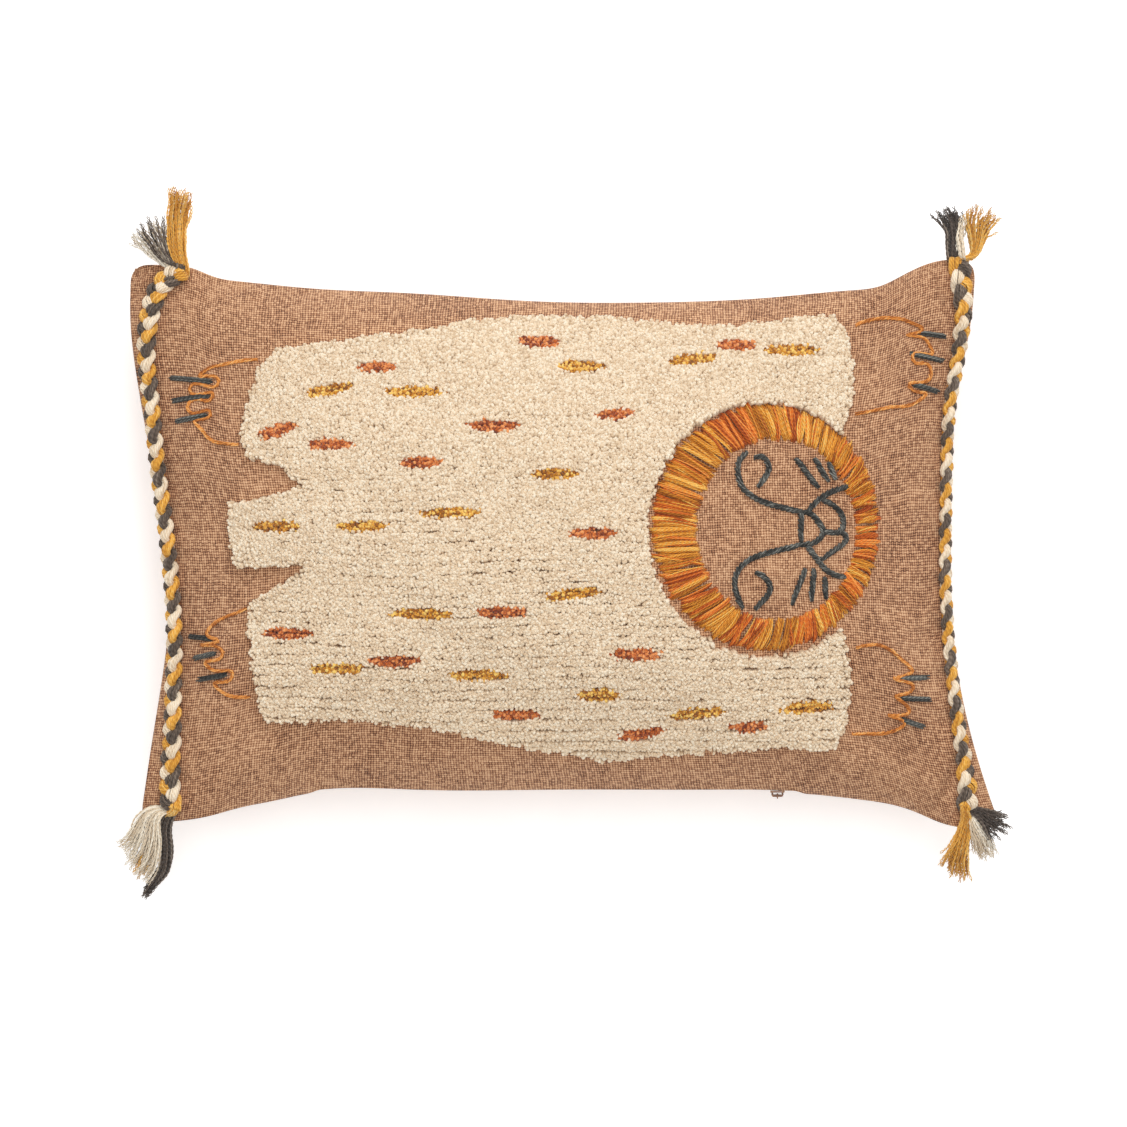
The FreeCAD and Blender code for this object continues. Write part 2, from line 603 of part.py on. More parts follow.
def make_slider():
    """Two plates joined by a post between the coils, with a bridge for the pull."""
    inner_front = CHAIN_Y + COIL_DEPTH / 2 + SLIDER_CLEARANCE
    inner_back = inner_front + SLIDER_PLATE
    outer_front = SLIDER_FACE_Y - SLIDER_PLATE
    x0, x1 = SLIDER_X - SLIDER_LENGTH / 2, SLIDER_X + SLIDER_LENGTH / 2
    half = SLIDER_WIDTH / 2
    inner = box_at(x0, x1, inner_front, inner_back, -half, half)
    outer = box_at(x0, x1, outer_front, SLIDER_FACE_Y, -half, half)
    inner = rounded_plate(inner, SLIDER_PLATE, INNER_PLATE_ROUND)
    outer = rounded_plate(outer, SLIDER_PLATE, OUTER_PLATE_ROUND)
    post = box_at(x1 - POST_ENDS[0], x1 - POST_ENDS[1], SLIDER_FACE_Y - POST_ROOT,
                  inner_front + POST_ROOT, -POST_HALF, POST_HALF)
    root_y = outer_front + BRIDGE_ROOT
    bar_y = bridge_y()
    left, right = SLIDER_X - BRIDGE_HALF, SLIDER_X + BRIDGE_HALF
    corners = [Vector(x, y, SEAM_Z) for x, y in ((left, root_y), (left, bar_y), (right, bar_y),
                                                 (right, root_y))]
    bridge = tube(rounded_path(corners), BRIDGE_BAR)
    save(inner.fuse([outer, post, bridge]).removeSplitter(), "zip_slider")


def tab_corners(tab, lower):
    """Corner edges at the lower or the upper end of the pull's tab."""
    corners = [edge for edge in tab.Edges if abs(edge.Length - PULL_THICK) < SAME_LENGTH]
    return [edge for edge in corners if (edge.CenterOfMass.z < SEAM_Z - PULL_LENGTH / 2) == lower]


def make_pull():
    """Hanging pull: a wire ring round the bridge bar and a rounded flat tab."""
    bar_y = bridge_y()
    middle = PULL_RING_INNER + PULL_RING_WIRE
    ring = Part.makeTorus(middle, PULL_RING_WIRE, Vector(SLIDER_X, bar_y, SEAM_Z), Vector(1, 0, 0))
    top = -middle - PULL_RING_WIRE / 2
    tab = box_at(SLIDER_X - PULL_WIDTH / 2, SLIDER_X + PULL_WIDTH / 2, bar_y - PULL_THICK / 2,
                 bar_y + PULL_THICK / 2, top - PULL_LENGTH, top)
    tab = tab.makeFillet(PULL_WIDTH / 2 - PULL_END_FLAT, tab_corners(tab, True))
    tab = tab.makeFillet(PULL_WIDTH / 2 - PULL_SHOULDER, tab_corners(tab, False))
    save(ring.fuse(tab).removeSplitter(), "zip_pull")


os.makedirs("parts", exist_ok=True)
make_cover()
make_insert()
make_pile()
make_mane()
make_embroidery()
make_braids()
make_fringes()
make_zip_chain()
make_slider()
make_pull()
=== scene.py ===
"""Looks of the stuffed oblong throw pillow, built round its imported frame: the cloth cover, the tufted lion,
the yarn mane, the embroidery, the side braids with their fringes, the zip and the inner pad.
Lengths in the constants are millimetres in the frame's axes, and every mesh is turned into metres."""

import math

import bpy
import numpy as np
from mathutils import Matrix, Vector
from mathutils.bvhtree import BVHTree


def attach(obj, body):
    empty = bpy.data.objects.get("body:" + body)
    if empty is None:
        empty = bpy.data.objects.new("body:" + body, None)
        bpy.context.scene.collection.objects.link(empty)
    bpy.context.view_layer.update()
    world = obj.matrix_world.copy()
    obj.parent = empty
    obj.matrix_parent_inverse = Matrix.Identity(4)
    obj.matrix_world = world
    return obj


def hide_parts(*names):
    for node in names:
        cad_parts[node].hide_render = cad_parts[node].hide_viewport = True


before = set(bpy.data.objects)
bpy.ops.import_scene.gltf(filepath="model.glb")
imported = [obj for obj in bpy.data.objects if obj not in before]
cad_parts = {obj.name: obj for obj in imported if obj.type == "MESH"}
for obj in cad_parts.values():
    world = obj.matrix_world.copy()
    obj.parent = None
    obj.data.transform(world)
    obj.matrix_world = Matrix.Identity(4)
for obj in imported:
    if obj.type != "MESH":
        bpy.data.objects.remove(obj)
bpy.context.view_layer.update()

MM = 0.001

# Plan of the seam, each edge from its left or lower corner.
LOWER_EDGE = [(-293, -195), (-266, -194), (-244, -190.5), (-224, -185), (-202, -180.5), (-173, -174.5),
              (-100, -173.5), (0, -173.5), (100, -173.5), (168, -174.5), (213, -179), (241, -184),
              (255, -189), (269, -195), (284, -198.5), (311, -197)]
UPPER_EDGE = [(-299, 197), (-278, 197), (-256, 194.5), (-241, 188.6), (-220, 185), (-174, 180.5),
              (-103, 177), (-19, 171.5), (65, 170.5), (150, 174), (206, 179), (227, 182), (240, 188),
              (255, 195.5), (270, 200), (294, 200)]
LEFT_EDGE = [(-293, -195), (-285, -140), (-275, -75), (-272, -30), (-277, 20), (-286, 65),
             (-295, 115), (-300, 160), (-299, 197)]
RIGHT_EDGE = [(311, -197), (294, -144), (281, -85), (275, -30), (275, 40), (278, 85), (285, 125),
              (292, 165), (294, 200)]

# Cover.
SEAM_Z = 66.0
RISE = 74.0            # crown of each panel from the seam
ROUNDNESS = 0.7        # of the bulge that the simulation starts from: lower is boxier
CLOTH = 1.2            # thickness of the cloth
CUT_WIDTH = 597.0      # flat size of a panel inside its seams
CUT_HEIGHT = 393.0
SIM_GRID = (100, 66)   # quads of each panel in the cloth simulation
FINE_GRID = (300, 198)  # quads of each finished panel
SIM_FRAMES = 24
SIM_SETTINGS = {"quality": 6, "mass": 0.25, "tension_stiffness": 30.0, "compression_stiffness": 12.0,
                "shear_stiffness": 6.0, "bending_stiffness": 0.6, "air_damping": 4.0,
                "use_pressure": True, "uniform_pressure_force": 6.0}
CORNER_RADIUS = 11.0
LUMP = 1.6             # height of the lumps that the filling makes
LUMP_SPACINGS = (95, 40)
SMALL_LUMP = 0.4       # height of the closer spaced lumps beside the others
FLAT_MARGIN = 30.0     # lumps and creases fade out this near the seam
PUCKER = 1.1           # height of the gathers along the seam
LONG_GATHERS = (16.0, 17.0)   # along a long side: how far they reach in, and their spacing
SHORT_GATHERS = (20.0, 19.0)  # the same along a short side
GATHER_ROOT = 3.0      # distance from the seam at which a gather reaches its height
GATHER_DRIFT = 0.1     # how fast a gather changes as it runs in, beside how fast it does along the seam
REST_BLEND = 4.0       # how gently the underside flattens where it rests
LIP_HALF_HEIGHT = 4.6  # the zip opening between the panels' lips
LIP_HALF_LENGTH = 168.0
LIP_DRAWN_IN = 1.6
LIP_RUN_OUT = 7.0
LATTICE_HALVES = (325.0, 210.0)  # half sizes of the plan lattice that the front's height is kept on
LATTICE_STEP = 2.5
RAYS_FROM = 400.0      # a height clear of the pillow
ANY_ANGLE = 6.3        # upper end of a random phase, in radians

# Pattern of the front: the crown of the filled panel draws it in towards the centre.
MOTIF_SHARE = 0.986
PAW_SHARE = 0.992

# Tufted lion. Pairs of numbers in brackets are a mean and a spread unless they say otherwise.
PILE_HEIGHT = 6.6
PILE_OUTLINE = [(-197, 137), (-176, 140), (-88, 150), (-67, 155), (-12, 159), (52, 157), (100, 152),
                (129, 153), (171, 158), (195, 160), (203, 151), (209, 128), (206, 95), (201, 86),
                (201, -65), (207, -91), (203, -128), (195, -144), (160, -141), (129, -144),
                (81, -146), (30, -150), (-12, -142), (-48, -136), (-82, -128), (-146, -122),
                (-205, -124), (-210, -113), (-215, -77), (-217, -55), (-214, -41), (-179, -20),
                (-176, -13), (-226, -15), (-230, 14), (-229, 30), (-216, 30), (-181, 39),
                (-180, 43), (-195, 57), (-217, 61), (-222, 77), (-215, 105), (-210, 123)]
NOTCH_CENTRE = (145, 10.5)
NOTCH_RADII = (82.5, 88.5)
ROW_RANGE = (-160, 165)
ROW_STEP = 7.2         # from one tufted row to the next
ROW_WAVE = (1.3, 150)  # height and length of a row's waves
ROW_LANES = 5          # yarn ends side by side in a row
LANE_STEP = 1.4
END_RANGE = (-235, 215)
END_STEP = 1.42        # yarn ends along a row
END_STRAY = (0.3, 0.26)       # spread of an end's place along and across its row
PARTING = 0.22         # how much a row closes up where the gap to the next one shows
PARTED = 0.1           # share of the gaps that show, at the middle of the pillow
PARTED_RUN = 320       # the share rises by 1 over this distance downwards
PARTED_UNEVEN = 0.65
PARTED_SPACING = 26
PARTED_UNLIKE = 9      # how much faster that unevenness changes from row to row than along a row
LOST_ENDS = 0.05       # share of a row's outer ends that are missing along a gap
BUD_SIDES = 5
BUD_RINGS = ((0.0, 1.35), (0.84, 1.0))  # foot and rim: share of the bud's height, and of its width
BUD_RADII = (1.2, 1.55)       # smallest and largest
BUD_ROUGH = (0.8, 1.2)        # least and greatest width of its corners, beside its own
BUD_NARROWED = 0.25    # how much thinner the buds beside a gap are
BUD_LEAN = (0.1, 0.08)        # spread of the lean along and across the row
BUD_SINK = 0.4         # depth of a bud's foot in the cloth
BUD_UNEVEN = 0.12      # how much shorter a cream bud can be
BUD_TALLEST = 1.06
RIM_STRAY = 0.25
RIM_SHADE_LEVEL = 0.8         # painted shade level of a bud's rim: its foot is at 0 and its tip at 1
PILE_FIELDS = 5
FIELD_FROM = -150
FIELD_STEP = 62
EDGE_RAG = (0.2, 0.9)
EDGE_WAVE = (0.8, 9)   # height and spacing of the larger unevenness of the pile's edge
NOTCH_RAG = 0.8        # raggedness of the edge round the mane beside the outer one
EDGE_REACH = 4         # buds this near the edge lean outwards
EDGE_LEAN = 0.3
DASH_HALF_HEIGHT = 3.8
DASH_MARGINS = (1.5, 0.6)     # how far a dash's ends and sides run past its own size
DASH_SQUARENESS = 2.2
DASH_RAG = (0.5, 0.55)
DASH_HEIGHT = 0.96     # height of the dashes beside the cream pile
DASH_UNEVEN = 0.3
RUST_DASHES = [(-13, 141, 31, 0), (-127, 124, 28, 0), (-44, 82, 37, 0), (-95, 57, 28, 0),
               (-196, 80, 30, 18), (-158, 70, 32, 0), (41, 90, 27, 4), (26, 8, 32, 0),
               (-189, -62, 35, 0), (-113, -81, 34, 0), (-39, -47, 35, 0), (56, -76, 35, 0),
               (-29, -118, 35, 0), (59, -131, 32, 8), (127, 139, 27, 0), (135, -127, 27, 0)]
OCHRE_DASHES = [(-160, 108, 32, 10), (-100, 106, 42, 0), (17, 124, 32, 0), (96, 129, 35, 5),
                (165, 136, 37, 0), (-1, 49, 32, 0), (-74, 22, 42, 0), (-135, 13, 37, 0),
                (-196, 13, 32, 0), (-94, -48, 44, 0), (11, -34, 41, 8), (-154, -86, 39, 0),
                (-56, -90, 42, 0), (29, -104, 31, 0), (99, -117, 42, 4), (176, -114, 37, 5)]

# Mane.
MANE_CENTRE = (145.2, 12.5)
MANE_RADII = (80, 85.9)
FACE_CENTRE = (152.9, 10.5)
FACE_RADII = (55.5, 62.5)
MANE_STITCHES = 264
MANE_STRANDS = 6       # fine strands in a stitch
MANE_STRAND_STEP = 0.5
MANE_STRAND_RADIUS = 0.46
MANE_HEIGHT = 5.0
MANE_GROUPS = (60, 34)        # radius at which the colour groups are laid out, and their spacing
MANE_RUST = 0.1        # the colour groups above this level are rust
MANE_RUST_SIDE = 0.3   # how much more rust there is on the side towards the body
MANE_COLOUR_STRAY = (0.45, 0.35)        # spread of that level over the stitches, and in a stitch
MANE_POINTS = 11       # points along a strand
MANE_BEND = 0.042      # spread of the slant of a stitch, in radians
MANE_OUTER_RAG = (-0.4, 1.5)
MANE_INNER_RAG = 0.9
MANE_STRAND_RAG = 0.5
MANE_HEIGHTS = (0.5, 1.0)     # least and greatest height of a stitch, beside the full one
MANE_TINTS = (0.1, 0.9)
MANE_TINT_STRAY = 0.3
MANE_BOW = 0.8         # spread of a stitch's sideways bow
MANE_BELLY = (0.55, 0.6)      # width of a stitch at its ends, and how much is added in its middle
MANE_CRIMP = 0.3
MANE_CRIMP_RANGE = (1.5, 5)   # radians of a strand's crimp from end to end
MANE_ROUND = 0.3       # how much lower each strand lies than its neighbour towards the middle
MANE_LIFT_STRAY = 0.3
MANE_SINK = 0.9        # depth of a stitch's ends in the cloth

# Embroidery. Stem stitches: distance from one to the next, their reach, slant and height, and strands.
FACE_STITCH = {"step": 3.8, "reach": 8.0, "slant": 0.9, "height": 1.9, "strands": 3, "gap": 0.8}
PAW_STITCH = {"step": 3.4, "reach": 7.0, "slant": 0.4, "height": 1.5, "strands": 2, "gap": 0.95}
CLAW_BAR = {"strands": 5, "width": 3.3, "height": 2.4}
FACE_THREAD = 0.68     # radius of the strands
PAW_THREAD = 0.6
CLAW_THREAD = 0.55
STITCH_SAMPLE = 0.5
STITCH_FIRST = 0.3     # the first and last stitch are centred at this share of their reach from an end
STITCH_REACHES = (0.92, 1.06)
STITCH_POINTS = 9
STITCH_ROUND = 0.25    # how much lower each strand lies than its neighbour towards the middle
STITCH_SINK = 0.35
STITCH_STRAY = 0.1
CLAW_POINTS = 11
CLAW_RAG = 0.8
CLAW_ROUND = 0.7       # how round a claw is across: 1 is a half ellipse
CLAW_SINK = 0.3
CLAW_STRAY = 0.08

# Embroidered lines, in plan.
BROWS_AND_EYES = [
    [(134, 65), (128, 59), (127, 51), (130, 41), (141, 32), (155, 27), (172, 23)],
    [(139, 62), (144, 62), (149, 55), (146, 47), (141, 41)],
    [(130, -44), (126, -34), (125, -24), (130, -14.5), (141, -8), (155, -4), (172, 0)],
    [(140, -19), (146, -23), (150, -30.5), (146, -38), (139, -45)]]
NOSE_AND_MOUTH = [
    [(172, 23), (171.5, 1)],
    [(172, 23), (176, 23), (185, 15), (187.5, 10), (182, 2), (172, 0)],
    [(176, 23), (186, 33), (199, 39.5), (208, 42)],
    [(176, -0.5), (183, -10), (191.5, -19), (204, -23.5)],
    [(187.5, 32), (197, 26), (202, 16), (200, 10), (187.5, 10)],
    [(200, 10), (204, 5), (196, -3.5), (186, -10)]]
WHISKERS = [
    [(168.6, 61), (184, 40)], [(182, 61), (191, 44.5)], [(192, 58), (196, 46)],
    [(175, -17), (165, -42)], [(181, -17), (179, -39.5)], [(189, -23), (189, -38)]]
PAWS = {
    "upper_left": [(-211, 130), (-221, 129.5), (-237, 126.5), (-246, 124), (-252, 119),
                   (-240, 118), (-238, 115), (-240, 112), (-257, 113), (-259, 110),
                   (-257, 106.5), (-242, 106), (-243.5, 102.5), (-254, 102.5), (-259, 100),
                   (-260, 97), (-258, 93), (-244, 93.5), (-244, 91), (-255, 87),
                   (-251, 82), (-242, 73), (-236, 71.5), (-224, 70)],
    "lower_left": [(-218, -45), (-228, -49), (-241, -55.5), (-246, -64), (-238, -67.5),
                   (-251, -71), (-239, -72), (-235, -77), (-238, -80.5), (-247.5, -83),
                   (-242.5, -88), (-228, -90), (-230, -95), (-241, -97.5), (-235, -104),
                   (-225, -107), (-216, -107)],
    "upper_right": [(211, 155), (216, 157), (231, 160), (244, 159), (252, 156), (258, 152),
                    (247, 148), (259, 146), (263, 141), (265, 135), (251, 134), (252, 129),
                    (261, 128), (263, 118), (256, 114.5), (248, 113), (251, 109), (260, 107),
                    (252, 100), (236.5, 97), (221, 94), (210, 92)],
    "lower_right": [(210, -72), (228.5, -71), (237, -76), (245, -83), (250, -89), (237, -94),
                    (246, -96.5), (251, -100), (248.5, -103.5), (238.5, -106.5), (246, -113),
                    (248, -118), (233.5, -120), (245, -125.5), (238.5, -130.5), (221, -133),
                    (208, -133)]}
CLAWS = {
    "upper_left": [[(-273, 118), (-243, 115)], [(-272, 101.5), (-245, 105)],
                   [(-269, 87), (-247, 91)]],
    "lower_left": [[(-259.5, -64.5), (-245, -66)], [(-257, -80.5), (-241, -76.5)],
                   [(-253, -95), (-233, -91.5)]],
    "upper_right": [[(256, 149.5), (274.5, 147.5)], [(249, 135), (273.5, 130)],
                    [(250.5, 113.5), (269.5, 108)]],
    "lower_right": [[(241, -94), (262, -93.5)], [(242, -108), (264, -109)],
                    [(243, -123), (259, -128.5)]]}

# Braids: centre lines in plan. The left one is plaited upwards and the right one downwards.
BRAID_LINES = {
    "left": [(-274, -184), (-274, -170), (-272.5, -148), (-270.5, -112), (-269, -75), (-270, -40),
             (-273.5, -4), (-278, 32), (-282, 67), (-286, 102), (-289.5, 130), (-289, 153),
             (-285, 171), (-276, 185), (-268, 191)],
    "right": [(286, 199), (286.4, 187), (287.7, 172), (286.4, 155), (285, 143), (281, 119),
              (277, 96), (275.5, 74), (275, 50), (274.5, 14), (274, -22), (275, -46), (276.5, -67),
              (278.5, -88), (281, -109), (283.5, -126), (287, -147), (290.5, -168), (290.5, -184)]}
# Each braid: its phase in degrees, and how long a full turn of the plait is at its start, near its end
# and at its end.
BRAID_PLAITS = {"left": (-76.5, (30.4, 30.4, 22.0)), "right": (-87.0, (32.3, 32.3, 32.3))}
BRAID_TILTS = {"left": 1.3, "right": 2.4}  # how far it rolls over the edge along the middle of a side
BRAID_PULLS = {"left": 0.1, "right": 0.3}  # how much thinner it is pulled there
BRAID_CORNER = 190     # distance of a corner from the middle of a side
GROOVE = 2.8           # how far each braid presses into the cloth
GROOVE_REACH = 7.0
TUCKS = [[(-262, 191), (-246, 187), (-224, 181)], [(-303, 168), (-291, 178), (-280, 186)],
         [(262, 198), (270, 187), (275, 172)], [(262, -190), (272, -178), (279, -160)]]
TUCK = 6.0             # depth of the creases that fold the corners off the filled middle
TUCK_REACH = 4.5
BRAID_SWAY = 3.9       # half of the sideways travel of a strand's centre
BRAID_LIFT = 3.1       # half of its travel over and under
BRAID_STAND_OFF = 5.6
BRAID_FOOT = 4.5       # the braid rests on the cover this far inside its own line
BRAID_YARNS = 13
BRAID_YARN_RADIUS = 0.92
BRAID_BUNDLE = (3.3, 2.1)  # half width and half height of a strand's ring of yarns
BRAID_SWELL = 0.2      # how much a strand widens where it passes over the others
STRAND_ORDER = ("cream", "ochre", "charcoal")
BRAID_STEPS = (8.0, 1.6)   # between the points that are laid on the cover, and between the final ones
BRAID_NEAR_END = 0.85  # share of the braid's length at which its second turn length holds
BUNDLE_TURN = 70.0     # the yarns of a strand turn round it once in this distance
BUNDLE_STRAY = 0.1
BUNDLE_UNEVEN = (0.93, 1.07)
BUNDLE_WOBBLE = (0.15, 4.3)  # height of a yarn's waves, and their length over 2 pi
BUNDLE_TINTS = (0.2, 0.8)
BRAID_TAIL = 6         # points from a strand's end to the place its loose yarns start from

# Fringes: root and tip, with z counted from the seam, half widths of the bunch at its root, middle and
# tip, sideways bow, how much longer its one side is than its middle, and how many yarns.
FRINGES = {
    "upper_left": {"charcoal": ((-267, 197, 8), (-287, 229, 6), (2.0, 7.0, 11.0), 3, 3, 9),
                   "cream": ((-270, 196, 6), (-291, 222, 0), (3.0, 9.0, 13.0), 0, 0, 30),
                   "ochre": ((-263, 195, 7), (-265, 248, -6), (4.2, 6.8, 8.6), 3, 5, 38)},
    "upper_right": {"charcoal": ((279, 200, 5), (274, 235, -8), (3.5, 6.2, 10.5), -3, 0, 36),
                    "cream": ((285, 201, 8), (285, 229, 0), (2.0, 2.6, 3.5), 2, 0, 11),
                    "ochre": ((290, 202, 5), (300, 234, -8), (2.0, 7.5, 14.5), 0, 0, 42)},
    "lower_left": {"cream": ((-279, -186, 8), (-299, -225, -4), (5.0, 12.5, 15.0), 0, 9, 58),
                   "charcoal": ((-272, -190, 5), (-291, -247, -16), (3.6, 4.6, 2.4), 7, 0, 26),
                   "ochre": ((-278, -192, 0), (-294, -232, -10), (4.0, 5.0, 6.5), 0, 0, 16)},
    "lower_right": {"charcoal": ((293, -187, 8), (313, -199, 4), (3.5, 7.5, 11.0), 0, 0, 38),
                    "cream": ((291, -192, 7), (303, -218, -6), (3.0, 6.0, 8.0), 0, 0, 28),
                    "ochre": ((287, -189, 9), (280, -230, -8), (3.4, 6.2, 11.0), 0, 5, 42)}}
FRINGE_POINTS = 44     # points along a yarn
FRINGE_DEPTHS = (2.2, 3.0, 4.0)  # half thickness of a bunch at its root, middle and tip
FRINGE_LIFT = 2.0      # how much a bunch rises in its middle
FRINGE_GATHERED = (0.5, 0.7)     # how much of its root's width a bunch has inside the braid
FRINGE_STRAY = 0.12
FRINGE_RAG = 2.6       # spread of the yarns' lengths
FRINGE_ROUND = 4.0     # how much shorter the outer yarns are than the middle ones
FRINGE_CRIMP = 0.6
FRINGE_CRIMP_RANGES = ((16, 24), (14, 22))  # radians of a yarn's crimp sideways and upwards
PLY_PITCH = 8.0
PLY_ORBITS = (0.34, 0.5)      # distance of a ply from its yarn's centre, and what is added at the tip
PLY_RADII = (0.42, 0.16)      # radius of a ply, and what is taken off at the tip
PLY_SIDES = 5

# Zip.
CHAIN_Y = -168.1
CHAIN_HALF = 166.0
COIL_PITCH = 1.7
COIL_WIRE = 0.34
COIL_HALF_WIDTH = 0.9
COIL_HALF_HEIGHT = 1.3
COIL_OFF = 1.15        # from the seam plane to the middle of each coil
COIL_POINTS = 10       # points in a loop
TAPE_THICK = 0.6
TAPE_HALF_LENGTH = 180.0
TAPE_EDGE = ((0.6, 2.3), (1.6, 3.0))  # how far the tape's first rows are behind the chain and off the seam
TAPE_ROWS = 7          # rows of the panel's grid that the rest of the tape follows
TAPE_GAP = 0.7

# Inner pad.
PAD_STEP = 3           # the pad's grid has one point for this many of the panel's
PAD_HALVES = (285.0, 173.0)
PAD_GAPS = (6.0, 6.0, 16.0)   # between pad and cover at the short sides, the upper and the lower side
PAD_GAP = 5.0          # between pad and panels
LINING = 1.1           # thickness of the lining
PAD_WELD = 0.05

# Stage, in metres where a place in space is given.
FLOOR_HALF = 20
FLOOR_GLOW = 0.32
LIGHTS = (("key", (0.35, 2.3, 2.1), 1.4, 35.5), ("top", (0.1, 0.2, 3.0), 2.0, 28.0))  # place, size, watts
WORLD_COLOUR = (1.0, 0.99, 0.975, 1.0)
WORLD_STRENGTH = 0.66
LENS = 200.0
SENSOR = 36.0
EYE = (4.6, -13.0)     # the camera looks straight down on this place, in millimetres
PICTURE_WIDTH = 792.3  # seen by the camera at the height of the seam, in millimetres

# Yarn.
WEAVE_PITCH = 1.85     # from one thread of the cloth to the next
THREAD_STRAY = 0.0032  # how far threads stray from straight, in metres
THREAD_DIP = 0.4       # share of a thread's height lost where it passes under another
SLUB_SCALE = 85.0      # thick and thin stretches along a thread, per metre
PLY_LINES = 300.0      # ply lines along a yarn, per metre
GOLDEN = 0.618034      # spreads the yarns of a bunch evenly through its depth


# ---------------------------------------------------------------- numbers

def unit(v):
    """Vectors of length 1."""
    return v / np.maximum(np.linalg.norm(v, axis=-1, keepdims=True), 1e-12)


def spline(points, share):
    """Positions at shares 0 to 1 of the smooth curve through points, by chord length."""
    p = np.asarray(points, float)
    count = len(p)
    flat = p.reshape(count, -1)
    t = np.concatenate([[0.0], np.cumsum(np.linalg.norm(np.diff(flat, axis=0), axis=1))])
    t /= t[-1]
    h = np.diff(t)
    matrix = np.eye(count)
    side = np.zeros_like(flat)
    for i in range(1, count - 1):
        matrix[i, i - 1:i + 2] = h[i - 1], 2 * (h[i - 1] + h[i]), h[i]
        side[i] = 6 * ((flat[i + 1] - flat[i]) / h[i] - (flat[i] - flat[i - 1]) / h[i - 1])
    m = np.linalg.solve(matrix, side)
    s = np.clip(np.asarray(share, float), 0, 1)
    k = np.clip(np.searchsorted(t, s, side="right") - 1, 0, count - 2)
    w = h[k][:, None]
    d = (s - t[k])[:, None]
    e = w - d
    out = ((m[k] * e ** 3 + m[k + 1] * d ** 3) / (6 * w) + (flat[k] / w - m[k] * w / 6) * e
           + (flat[k + 1] / w - m[k + 1] * w / 6) * d)
    return out.reshape((len(s),) + p.shape[1:])


def even_spline(points, step):
    """The same curve at even steps, its ends included."""
    dense = spline(points, np.linspace(0, 1, 40 * len(points)))
    run = np.concatenate([[0.0], np.cumsum(np.linalg.norm(np.diff(dense, axis=0), axis=1))])
    count = max(2, int(round(run[-1] / step)) + 1)
    where = np.linspace(0, run[-1], count)
    return np.stack([np.interp(where, run, dense[:, i]) for i in range(dense.shape[1])], axis=1)


def ripple(x, y, wavelength, seed, waves=7):
    """Smooth uneven pattern of about -1 to 1 over a plane."""
    rng = np.random.default_rng(seed)
    total = np.zeros(np.broadcast(x, y).shape)
    for _ in range(waves):
        heading, phase = rng.uniform(0, 2 * math.pi, 2)
        k = 2 * math.pi / (wavelength * rng.uniform(0.7, 1.5))
        total += np.sin(k * (x * math.cos(heading) + y * math.sin(heading)) + phase)
    return total / math.sqrt(waves / 2) * 0.6


def inside(x, y, loop):
    """Which plan points lie inside a closed outline."""
    hit = np.zeros(x.shape, bool)
    for (x0, y0), (x1, y1) in zip(loop, loop[1:] + loop[:1]):
        if y0 == y1:
            continue
        crosses = ((y0 > y) != (y1 > y)) & (x < (x1 - x0) * (y - y0) / (y1 - y0) + x0)
        hit ^= crosses
    return hit


def rim(x, y, loop):
    """Distance from plan points to a closed outline, and the direction to its nearest point."""
    best = np.full(x.shape, 1e9)
    to = np.zeros(x.shape + (2,))
    here = np.stack([x, y], axis=-1)
    for start, end in zip(loop, loop[1:] + loop[:1]):
        a, b = np.array(start, float), np.array(end, float)
        share = np.clip(((here - a) @ (b - a)) / ((b - a) @ (b - a)), 0, 1)
        gap = a + share[..., None] * (b - a) - here
        far = np.linalg.norm(gap, axis=-1)
        nearer = far < best
        best = np.where(nearer, far, best)
        to = np.where(nearer[..., None], gap, to)
    return best, unit(to)


# ---------------------------------------------------------------- meshes

def grid_quads(rows, columns, wrap=False):
    """Quads between rows of vertices, closed round the columns if wrap is set."""
    i = np.arange(rows - 1)[:, None] * columns
    j = np.arange(columns if wrap else columns - 1)[None, :]
    k = (j + 1) % columns
    return np.stack([i + j, i + k, i + columns + k, i + columns + j], axis=-1).reshape(-1, 4)


def frames(paths):
    """Directions along, across and up at every point of many paths."""
    along = unit(np.gradient(paths, axis=1))
    across = np.zeros_like(along)
    helper = np.where(np.abs(along[:, :1, 2]) < 0.9, 1.0, 0.0)
    up = np.concatenate([1 - helper, np.zeros_like(helper), helper], axis=1)
    across[:, 0] = unit(np.cross(up, along[:, 0]))
    for i in range(1, paths.shape[1]):
        before = across[:, i - 1]
        lean = np.sum(before * along[:, i], axis=-1, keepdims=True)
        across[:, i] = unit(before - lean * along[:, i])
    return along, across, np.cross(along, across)


def plied(paths, plies, orbit, pitch, phase):
    """Paths of the plies that twist round each path."""
    _, across, up = frames(paths)
    steps = np.linalg.norm(np.diff(paths, axis=1), axis=-1)
    run = np.concatenate([np.zeros((len(paths), 1)), np.cumsum(steps, axis=1)], axis=1)
    out = []
    for k in range(plies):
        angle = 2 * math.pi * (run / pitch + k / plies) + phase
        out.append(paths + orbit * (np.cos(angle)[..., None] * across + np.sin(angle)[..., None] * up))
    return np.concatenate(out)


